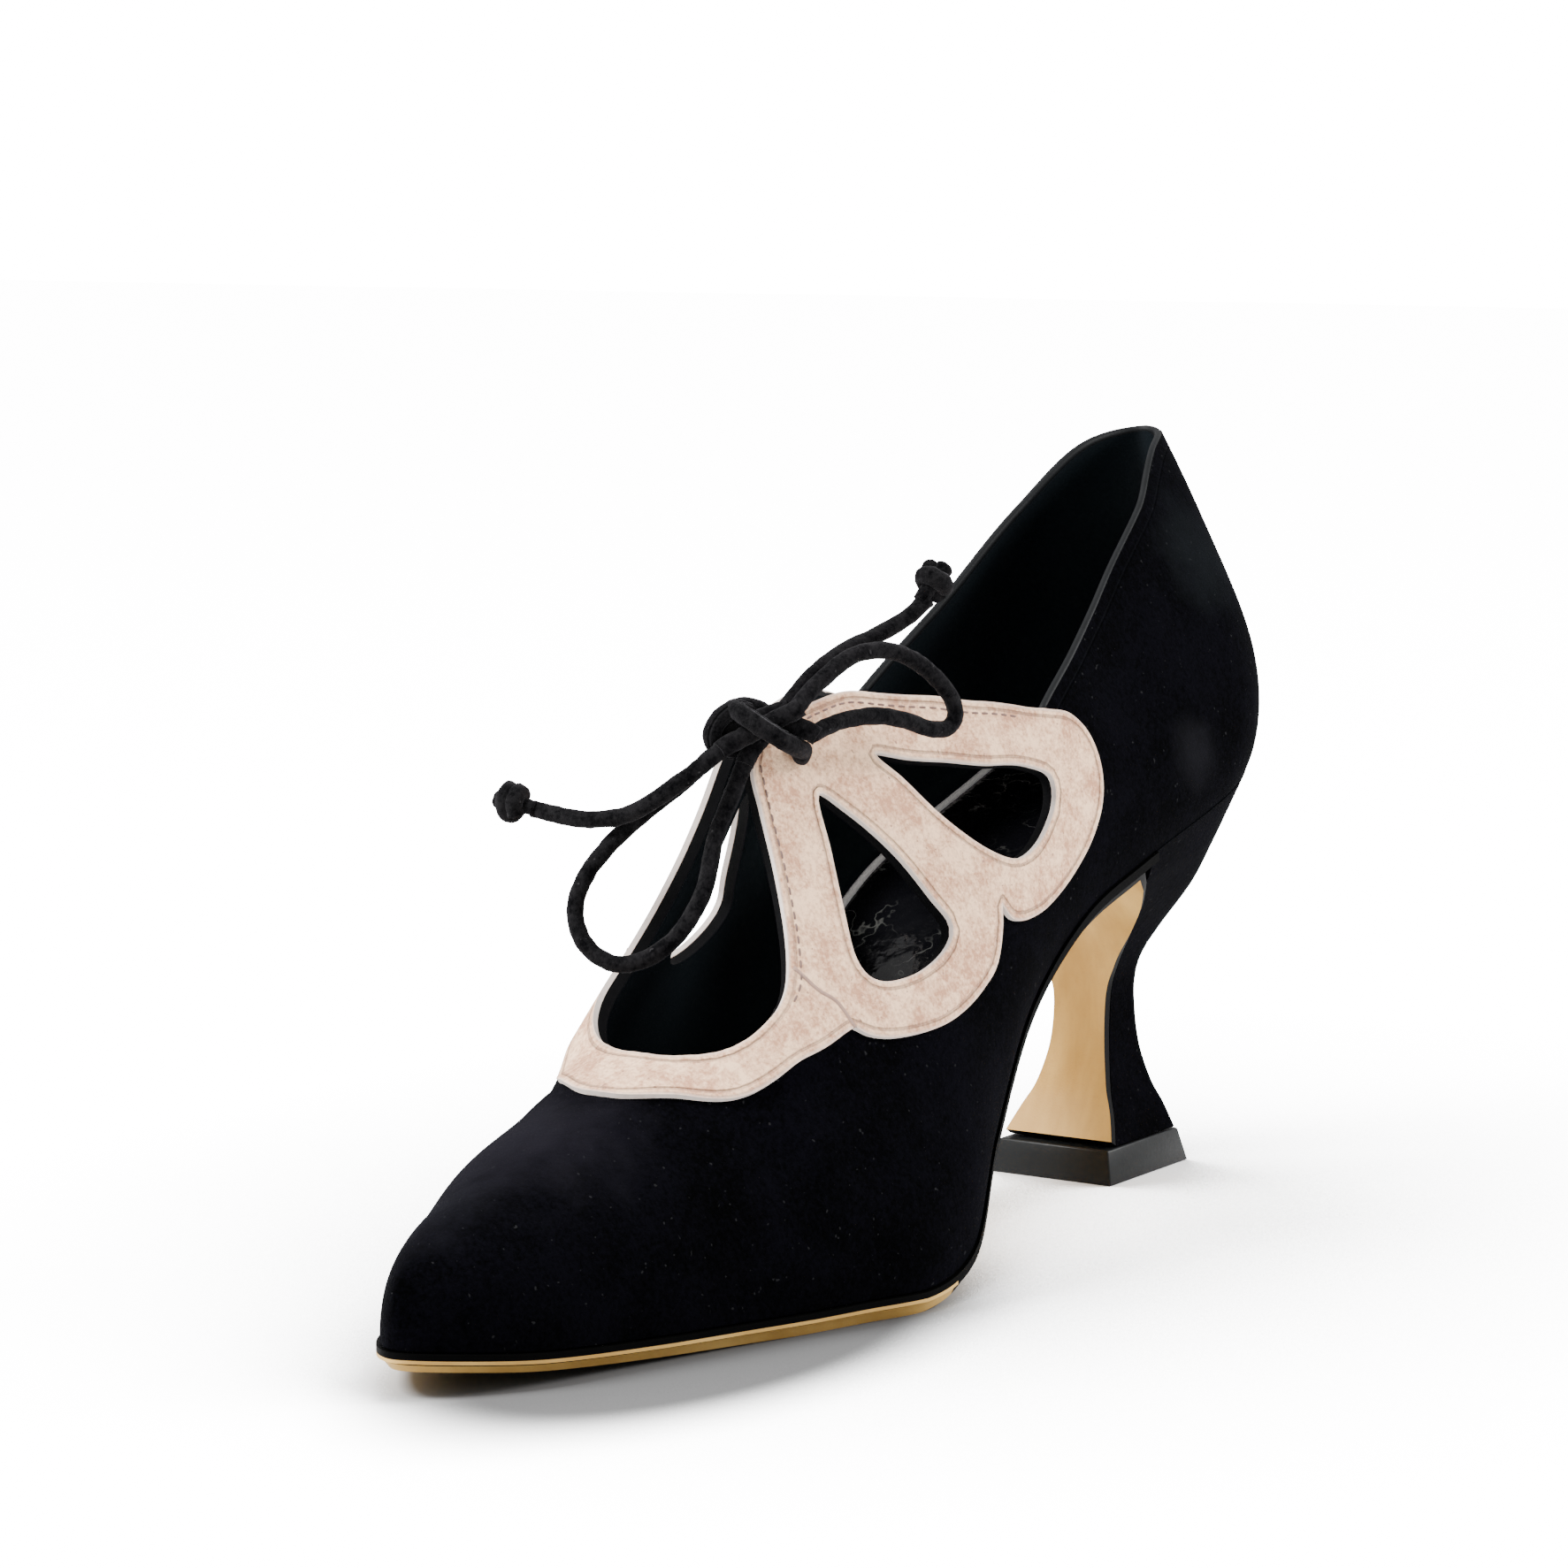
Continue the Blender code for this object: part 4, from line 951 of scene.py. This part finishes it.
sole_leather, shader, tree = new_material("beige sole leather", 0.45)
shader.inputs["Specular IOR Level"].default_value = 0.14
place = object_place(tree)
stretch = tree.nodes.new("ShaderNodeMapping")
feed(tree, (stretch.inputs["Vector"], stretch.inputs["Scale"]), (place, (1.0, 0.35, 0.35)))
cloud = ramp(tree, noise(tree, stretch.outputs[0], 95.0, 4.0, 0.55), 0.3, 0.7)
pore = noise(tree, place, 2400.0, 2.0, 0.6)
colour = blend_colours(tree, cloud, (0.49, 0.282, 0.074), (0.68, 0.430, 0.132))
colour = blend_colours(tree, ramp(tree, pore, 0.55, 0.8, 0.0, 0.35), colour, (0.44, 0.23, 0.07))
tree.links.new(colour, shader.inputs["Base Color"])
add_grain(tree, shader, place, Grain(2400.0, 2.0, 0.6, 0.00008, 0.4), height=pore)

seat_start = (HEEL_OVERHANG + SEAT_FRONT + CLEARANCE) / SHOE_LENGTH
ink_end = CLEARANCE + RAND_THICKNESS - BARE_EDGE
rand = slab("inked_rand", plate_rows(seat_start, 1.0, RAND_STEP, CLEARANCE),
            plate_rows(seat_start, 1.0, RAND_STEP, ink_end),
            (edge_ink, edge_ink), lambda middle: 0)
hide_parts("sole_rand")
slab("rand_lower_edge", plate_rows(seat_start, 1.0, RAND_STEP, ink_end),
     plate_rows(seat_start, 1.0, RAND_STEP, CLEARANCE + RAND_THICKNESS),
     (edge_ink, edge_ink, sole_leather),
     lambda middle: 0 if middle.y > PAINT_START else 2)

# Heel
# A moulded waisted heel with a square foot, covered in the same black suede as the upper. Its
# rows run from the top piece up to the breast, and then over to the last's lower edge.
TREAD_WIDTH = 0.027
TREAD_DEPTH = 0.030
TOP_PIECE_HEIGHT = 0.0065
TOP_PIECE_FLARE = 0.0015
TOP_PIECE_BEVEL = 0.00035
BREAST_HEIGHT = 0.0615
HEEL_BASE = TOP_PIECE_HEIGHT + CLEARANCE
HALF_TREAD = TREAD_WIDTH / 2
HALF_DEPTH = TREAD_DEPTH / 2
CORNER_DEPTH = 0.60
CORNER_LENGTH = 1.25
HEEL_LEVELS = 80
SIDE_POINTS = 14
CORNER_POINTS = 16
SEAT_STEPS = 8

# half, front and back: shares of the tread's half width; front_up, back_up: shares of the
# way up the breast and the back; round: share of the half width that the corners round off.
HeelRow = namedtuple("HeelRow", "half front back front_up back_up round")
HEEL_ROWS = [
    HeelRow(0.87, -0.73, 0.99, 0.000, 0.000, 0.08),
    HeelRow(0.73, -0.53, 0.93, 0.086, 0.063, 0.12),
    HeelRow(0.58, -0.37, 0.86, 0.168, 0.124, 0.22),
    HeelRow(0.46, -0.21, 0.78, 0.296, 0.218, 0.40),
    HeelRow(0.42, -0.14, 0.74, 0.424, 0.312, 0.50),
    HeelRow(0.45, -0.13, 0.74, 0.534, 0.393, 0.60),
    HeelRow(0.60, -0.20, 0.83, 0.626, 0.460, 0.75),
    HeelRow(0.90, -0.39, 1.15, 0.742, 0.542, 0.90),
    HeelRow(1.38, -0.89, 1.62, 0.874, 0.665, 0.96),
    HeelRow(1.74, -1.42, 2.10, 0.975, 0.820, 0.98),
]


def heel_levels(count):
    """The heel's rows in metres, smoothly spaced from the top piece up to the breast's top."""
    columns = {name: [(k, getattr(row, name)) for k, row in enumerate(HEEL_ROWS)]
               for name in HeelRow._fields}
    levels = []
    for place in np.linspace(0.0, len(HEEL_ROWS) - 1, count):
        value = {name: float(smooth(rows, place)) for name, rows in columns.items()}
        levels.append(HeelRow(value["half"] * HALF_TREAD, value["front"] * HALF_TREAD,
                              value["back"] * HALF_TREAD,
                              HEEL_BASE + (BREAST_HEIGHT - HEEL_BASE) * value["front_up"],
                              HEEL_BASE + (SEAT_HEIGHT - HEEL_BASE) * value["back_up"], value["round"]))
    return levels


def heel_side(level, side):
    """One side of a heel level, from its front corner round to the back."""
    depth = level.back - level.front
    round_x = level.half * level.round
    round_y = min(depth * CORNER_DEPTH, round_x * CORNER_LENGTH)
    turn_y = level.back - round_y
    outline = [(level.half, level.front + (turn_y - level.front) * k / SIDE_POINTS)
               for k in range(SIDE_POINTS)]
    for k in range(CORNER_POINTS + 1):
        angle = pi / 2 * k / CORNER_POINTS
        outline.append((level.half - round_x * (1 - cos(angle)), turn_y + round_y * sin(angle)))
    return [(side * x, y, level.front_up + (level.back_up - level.front_up) * (y - level.front) / depth)
            for x, y in outline]


def seat_side(side):
    """One side of the heel's top, along the last's lower edge to the back."""
    start = (HEEL_OVERHANG + SEAT_FRONT) / SHOE_LENGTH
    shares = list(np.linspace(start, HEEL_ROUND, SIDE_POINTS + 1))[:-1]
    shares += [HEEL_ROUND * (1 - sin(pi / 2 * k / CORNER_POINTS)) for k in range(CORNER_POINTS + 1)]
    points = last_point(np.array(shares), 0.0, side)
    points[:, 2] -= CLEARANCE
    return [tuple(point) for point in points]


def ring_between(low, high, share):
    """Points part of the way between two rings."""
    return [tuple(np.array(a) * (1 - share) + np.array(b) * share) for a, b in zip(low, high)]


sides = [(heel_side(level, 1), heel_side(level, -1)) for level in heel_levels(HEEL_LEVELS)]
seat = (seat_side(1), seat_side(-1))
top_level = sides[-1]
for k in range(1, SEAT_STEPS + 1):
    sides.append(tuple(ring_between(top_level[j], seat[j], k / SEAT_STEPS) for j in (0, 1)))
build = bmesh.new()
grid = [([build.verts.new(point) for point in left], [build.verts.new(point) for point in right])
        for left, right in sides]
count = len(grid[0][0])
for (left, right), (next_left, next_right) in zip(grid[:-1], grid[1:]):
    for k in range(count - 1):
        build.faces.new((left[k], left[k + 1], next_left[k + 1], next_left[k]))
        build.faces.new((right[k + 1], right[k], next_right[k], next_right[k + 1]))
    build.faces.new((left[-1], right[-1], next_right[-1], next_left[-1]))
    build.faces.new((right[0], left[0], next_left[0], next_right[0]))
for left, right in (grid[0], grid[-1]):
    for k in range(count - 1):
        build.faces.new((left[k], left[k + 1], right[k + 1], right[k]))
heel = close_block("suede_heel", build, (black_suede,), 48)
away = heel.data.attributes.new("collar_distance", "FLOAT", "POINT")
away.data.foreach_set("value", np.ones(len(heel.data.vertices), np.float32))
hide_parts("heel")

# Outsole
# One piece of smooth beige sole leather, bevelled round the forepart, that runs along the
# waist and down the heel's breast, where its edges are painted dark.
OUTSOLE_STEP = 0.0002
TREAD_STEP = 0.0012
FLAP_BEND = 0.004
FLAP_LEVELS = 90
TOE_SKIVE = 0.0007
SKIVE_START = -0.145
SKIVE_RUN = 0.060

painted_edge = mottled("painted sole edge", 0.6, (0.0010, 0.0010, 0.0012),
                       (0.0035, 0.0035, 0.0035), scale=400.0, specular=0.05)

drop = 2 * CLEARANCE + RAND_THICKNESS
first = (HEEL_OVERHANG + SEAT_FRONT + FLAP_BEND) / SHOE_LENGTH
top_rows = plate_rows(first, 1.0, OUTSOLE_STEP, drop)[::-1]
low_rows = plate_rows(first, 1.0, TREAD_STEP, drop + OUTSOLE_THICKNESS)[::-1]
for row in low_rows:
    for k, (x, y, z) in enumerate(row):
        skived = TOE_SKIVE * float(np.clip((SKIVE_START - y) / SKIVE_RUN, 0.0, 1.0))
        row[k] = (x, y, max(0.0, z) + skived)
levels = heel_levels(FLAP_LEVELS)[::-1]
for k, level in enumerate(levels):
    above, below = levels[max(0, k - 1)], levels[min(len(levels) - 1, k + 1)]
    run = Vector((below.front - above.front, below.front_up - above.front_up)).normalized()
    outwards = Vector((run.y, -run.x))
    layers = ((top_rows, CLEARANCE), (low_rows, CLEARANCE + OUTSOLE_THICKNESS))
    for rows, distance in layers:
        y = level.front + outwards.x * distance
        z = max(HEEL_BASE, level.front_up + outwards.y * distance)
        spread = np.cos(np.linspace(0.0, pi, PLATE_COLUMNS + 1)) * level.half
        rows.append([(x, y, z) for x in spread])
outsole = slab("leather_outsole", top_rows, low_rows, (painted_edge, sole_leather),
               lambda middle: 0 if middle.y > PAINT_START else 1)
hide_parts("outsole")

# Top piece
# The heel's hard-wearing tread, a square moulded block under the heel. It is widest at the
# floor.
bpy.ops.mesh.primitive_cube_add(size=1.0)
top_piece = bpy.context.object
top_piece.name = "moulded_top_piece"
for corner in top_piece.data.vertices:
    flare = 0.0 if corner.co.z < 0 else TOP_PIECE_FLARE
    height = TOP_PIECE_HEIGHT if corner.co.z > 0 else 0.0
    corner.co = (corner.co.x * 2 * (HALF_TREAD - flare), corner.co.y * 2 * (HALF_DEPTH - flare), height)
bpy.ops.object.mode_set(mode="EDIT")
bpy.ops.mesh.select_all(action="SELECT")
bpy.ops.mesh.bevel(offset=TOP_PIECE_BEVEL, segments=3, affect="EDGES")
bpy.ops.object.mode_set(mode="OBJECT")
bpy.ops.object.shade_smooth_by_angle(angle=radians(35))
moulded = mottled("moulded top piece", 0.34, (0.0056, 0.0062, 0.0066), (0.0110, 0.0118, 0.0122),
                  scale=260.0, detail=3.0, specular=0.18,
                  grain=Grain(1300.0, 2.0, 0.5, 0.0001, 0.25))
top_piece.data.materials.append(moulded)
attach(top_piece, "root")
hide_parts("top_piece")

# Lace
# A round cord of folded suede, tied in a bow over the throat; each end stops in a knot. No
# eyelets are cut, so the cord sinks straight into the leather of both wings.
LACE_DIAMETER = 0.0030
LACE_RADIUS = LACE_DIAMETER / 2
KNOT_CENTRE = (0.0053, -0.1222, 0.0982)
BAR = [(0.0048, -0.1078, 0.0918), (0.0066, -0.1101, 0.0924), (0.0087, -0.1134, 0.0932),
       (0.0078, -0.1155, 0.0960), (0.0042, -0.1170, 0.1003), (0.0000, -0.1172, 0.1015),
       (-0.0042, -0.1165, 0.1003), (-0.0078, -0.1150, 0.0960), (-0.0087, -0.1134, 0.0928),
       (-0.0066, -0.1101, 0.0920), (-0.0048, -0.1078, 0.0914)]
LOOP_A = [(0.0108, -0.1186, 0.1014), (0.0117, -0.1135, 0.1052), (0.0140, -0.1065, 0.1095),
          (0.0160, -0.1020, 0.1105), (0.0180, -0.0970, 0.1098), (0.0197, -0.0915, 0.1070),
          (0.0213, -0.0865, 0.1025), (0.0217, -0.0840, 0.0985), (0.0210, -0.0855, 0.0957),
          (0.0197, -0.0900, 0.0960), (0.0185, -0.0950, 0.0978), (0.0168, -0.1020, 0.0992),
          (0.0145, -0.1100, 0.0990), (0.0127, -0.1165, 0.0971)]
LOOP_B = [(0.0000, -0.1247, 0.0951), (-0.0065, -0.1283, 0.0885), (-0.0140, -0.1325, 0.0815),
          (-0.0190, -0.1368, 0.0745), (-0.0205, -0.1395, 0.0680), (-0.0180, -0.1408, 0.0622),
          (-0.0125, -0.1400, 0.0588), (-0.0070, -0.1378, 0.0597), (-0.0022, -0.1345, 0.0642),
          (0.0000, -0.1305, 0.0710), (0.0005, -0.1275, 0.0800), (0.0022, -0.1250, 0.0870),
          (0.0040, -0.1235, 0.0930)]
END_A = [(0.0020, -0.1276, 0.0952), (-0.0025, -0.1318, 0.0905), (-0.0075, -0.1345, 0.0865),
         (-0.0125, -0.1355, 0.0838), (-0.0185, -0.1358, 0.0826), (-0.0245, -0.1360, 0.0826),
         (-0.0316, -0.1364, 0.0836)]
END_A_KNOT = (-0.0350, -0.1375, 0.0845)
END_B = [(0.0078, -0.1172, 0.1012), (0.0090, -0.1100, 0.1050), (0.0106, -0.1020, 0.1085),
         (0.0126, -0.0950, 0.1114), (0.0148, -0.0892, 0.1146), (0.0167, -0.0853, 0.1181)]
END_B_KNOT = (0.0173, -0.0838, 0.1212)

cord_suede, shader, tree = new_material("black cord", 0.92)
set_suede(shader, 0.08, (0.62, 0.60, 0.64))
split = tree.nodes.new("ShaderNodeSeparateXYZ")
tree.links.new(tree.nodes.new("ShaderNodeTexCoord").outputs["UV"], split.inputs[0])
fold = line_mask(tree, split.outputs[0], 0.5, 0.035, -1.8)
colour = add_nap(tree, shader, dark=(0.0012, 0.0012, 0.0015), light=(0.0090, 0.0086, 0.0092),
                 fleck=(0.022, 0.021, 0.022), patch_size=260.0, strength=1.0, height=fold)
tree.links.new(colour, shader.inputs["Base Color"])


# The knot's strands, as seen by the camera: how far right, up and towards it from the
# knot's middle. The band comes up from the near wing and turns once round the rest; the
# others join the loops and the ends.
KNOT_STRANDS = {
    "knot_band": [(0.0074, -0.0039, -0.0138), (0.0079, -0.0036, -0.0105), (0.0080, -0.0034, -0.0060),
                  (0.0068, -0.0029, -0.0012), (0.0043, -0.0016, 0.0021), (0.0014, 0.0002, 0.0031),
                  (-0.0014, 0.0021, 0.0026), (-0.0034, 0.0034, 0.0006), (-0.0038, 0.0030, -0.0018),
                  (-0.0024, 0.0012, -0.0036), (0.0006, -0.0010, -0.0040)],
    "knot_front": [(-0.0062, -0.0037, 0.0024), (-0.0040, -0.0022, 0.0016), (-0.0005, -0.0004, 0.0006),
                   (0.0032, 0.0016, 0.0004), (0.0064, 0.0031, 0.0005), (0.0077, 0.0039, 0.0005)],
    "knot_back": [(-0.0066, -0.0034, -0.0015), (-0.0040, -0.0010, -0.0016), (-0.0008, 0.0012, -0.0020),
                  (0.0024, 0.0026, -0.0023), (0.0056, 0.0038, -0.0025)],
    "knot_under": [(0.0106, -0.0011, -0.0009), (0.0088, -0.0001, -0.0010), (0.0060, 0.0008, -0.0012),
                   (0.0028, 0.0000, -0.0018), (0.0002, -0.0022, -0.0016), (-0.0014, -0.0046, -0.0006),
                   (-0.0020, -0.0060, -0.0002)],
    "knot_core": [(-0.0052, -0.0006, -0.0012), (-0.0022, 0.0006, -0.0008), (0.0012, 0.0008, -0.0010),
                  (0.0040, 0.0012, -0.0014)],
    "knot_turn": [(-0.0012, 0.0030, -0.0030), (-0.0036, 0.0036, -0.0008), (-0.0062, 0.0018, 0.0008),
                  (-0.0074, -0.0008, 0.0006), (-0.0066, -0.0030, -0.0008), (-0.0040, -0.0034, -0.0028)],
}


def knot_places(rows, centre):
    """Rows of right, up and towards the viewer as places round a centre."""
    return np.array([Vector(centre) + camera_right * right + camera_up * up + towards_camera * near
                     for right, up, near in rows])


KNOT_SWELL = 1.12
KNOT_STEP = 0.0006
CORD_FUZZ = 0.055
for name, rows in KNOT_STRANDS.items():
    part, _ = tube(name, knot_places(rows, KNOT_CENTRE), LACE_RADIUS * KNOT_SWELL, cord_suede,
                   step=KNOT_STEP, fuzz=CORD_FUZZ)
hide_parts("lace_knot")

# The bar crosses the throat under the knot, and its ends go down into both wings
crossing, _ = tube("lace_bar", BAR, LACE_RADIUS, cord_suede, fuzz=CORD_FUZZ)
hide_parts("lace_crossing")

END_KNOT_TURNS = 11
END_KNOT_ANGLE = 0.95
END_KNOT_PITCH = 0.00026
END_KNOT_RING = 0.0020
END_KNOT_RADIUS = 0.00165
END_KNOT_STEP = 0.0005
TIP_PLACES = (-0.0045, -0.002, 0.001, 0.0025, 0.0036)
TIP_RADII = (0.00138, 0.00138, 0.00150, 0.00165, 0.00120)


def end_knot(name, centre, way, node):
    """A small overhand knot: a turned ring of cord round its own end, with a frayed tip."""
    way = Vector(way).normalized()
    beside = way.orthogonal().normalized()
    other = way.cross(beside)
    rows = []
    for k in range(END_KNOT_TURNS):
        angle = k * END_KNOT_ANGLE
        outwards = beside * cos(angle) + other * sin(angle)
        gone = way * (k - END_KNOT_TURNS // 2) * END_KNOT_PITCH
        rows.append(Vector(centre) + gone + outwards * END_KNOT_RING)
    knot, _ = tube(name, np.array(rows), END_KNOT_RADIUS, cord_suede,
                   step=END_KNOT_STEP, fuzz=CORD_FUZZ)
    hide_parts(node)
    tip, _ = tube(name + "_tip", np.array([Vector(centre) + way * place for place in TIP_PLACES]),
                  TIP_RADII, cord_suede, step=END_KNOT_STEP, fuzz=2 * CORD_FUZZ)
    return [knot, tip]


# End B lies beside loop A for half its length
END_B_RISE = Vector((-0.0005, -0.0003, 0.0015))
END_B_SHARES = (0.1, 0.8, 1.0, 0.6, 0.2, 0.0)
end_b = [tuple(Vector(point) + END_B_RISE * share) for point, share in zip(END_B, END_B_SHARES)]
for name, rows, node, far_end in (("loop_a", LOOP_A, "lace_loop_a", "object"),
                                  ("loop_b", LOOP_B, "lace_loop_b", "object"),
                                  ("end_a", END_A, "lace_end_a", "knot"),
                                  ("end_b", end_b, "lace_end_b", "knot")):
    piece, run = tube(name, rows, LACE_RADIUS, cord_suede, fuzz=CORD_FUZZ)
    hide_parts(node)
end_a_pieces = end_knot("end_knot_a", END_A_KNOT, Vector(END_A_KNOT) - Vector(END_A[-2]),
                        "lace_end_a_knot")
end_b_pieces = end_knot("end_knot_b", END_B_KNOT, Vector(END_B_KNOT) - Vector(end_b[-2]),
                        "lace_end_b_knot")

# Floor and light
# A plain pale floor under a bright sky, one soft lamp high on the left and in front, and a
# weaker one on the right. The floor glows to the camera; near the shoe its glow is dimmed as
# painted shade, and a painted shadow lies in front of the forepart.
FLOOR_GLOW = 14.0
BACKDROP_GLOW = 16.0
SKY_STRENGTH = 0.85
SHADE_DISTANCE = 0.17
SHADE_POWER = 8.0
PAINTED_SHADOW_MIDDLE = (0.016, -0.158, 0.0)
PAINTED_SHADOW_REACH = (0.027, 0.054, 1.0)
bpy.ops.mesh.primitive_plane_add(size=8.0, location=(0.0, 0.0, 0.0))
floor = bpy.context.object
floor.name = "floor"
paper, shader, tree = new_material("pale floor", 0.9)
shader.inputs["Specular IOR Level"].default_value = 0.0
# Painted shade: close to the shoe the floor's glow dims, by how much the shoe hides round each point
near_shade = tree.nodes.new("ShaderNodeAmbientOcclusion")
near_shade.samples = 4
near_shade.inputs["Distance"].default_value = SHADE_DISTANCE
painted_shade_share = maths(tree, "POWER", near_shade.outputs["AO"], SHADE_POWER)
# A painted shadow: the forepart's soft shadow, painted into the floor's colour and glow, falls outwards
# and towards the viewer
patch = tree.nodes.new("ShaderNodeMapping")
patch.vector_type = "TEXTURE"
sockets = [patch.inputs[name] for name in ("Vector", "Location", "Scale")]
feed(tree, sockets, (object_place(tree), PAINTED_SHADOW_MIDDLE, PAINTED_SHADOW_REACH))
reach = tree.nodes.new("ShaderNodeVectorMath")
reach.operation = "LENGTH"
tree.links.new(patch.outputs[0], reach.inputs[0])
painted_shadow_share = ramp(tree, reach.outputs["Value"], 0.92, 1.70, 0.010, 1.0)
colour = blend_colours(tree, painted_shadow_share, (0.10, 0.10, 0.10), (0.93, 0.93, 0.93))
tree.links.new(colour, shader.inputs["Base Color"])
seen = tree.nodes.new("ShaderNodeLightPath").outputs["Is Camera Ray"]
shader.inputs["Emission Color"].default_value = (1.0, 1.0, 1.0, 1.0)
glow = FLOOR_GLOW
for share in (painted_shade_share, painted_shadow_share, seen):
    glow = maths(tree, "MULTIPLY", share, glow)
tree.links.new(glow, shader.inputs["Emission Strength"])
floor.data.materials.append(paper)

world = bpy.data.worlds.new("studio")
bpy.context.scene.world = world
world.use_nodes = True
tree = world.node_tree
seen = tree.nodes.new("ShaderNodeLightPath").outputs["Is Camera Ray"]
background = tree.nodes["Background"]
background.inputs["Color"].default_value = (1.0, 1.0, 1.0, 1.0)
strength = maths(tree, "ADD", maths(tree, "MULTIPLY", seen, BACKDROP_GLOW), SKY_STRENGTH)
tree.links.new(strength, background.inputs["Strength"])


def add_lamp(name, place, aim, size, power):
    """A square soft lamp that points at a place."""
    data = bpy.data.lights.new(name, "AREA")
    data.size = size
    data.energy = power
    lamp = bpy.data.objects.new(name, data)
    lamp.location = place
    lamp.rotation_euler = (Vector(aim) - Vector(place)).to_track_quat("-Z", "Y").to_euler()
    bpy.context.scene.collection.objects.link(lamp)


add_lamp("front lamp", (-0.65, -0.95, 1.20), (0.0, -0.10, 0.05), 0.5, 62.0)
add_lamp("back lamp", (1.00, 0.75, 0.80), (0.0, 0.0, 0.08), 0.5, 32.0)
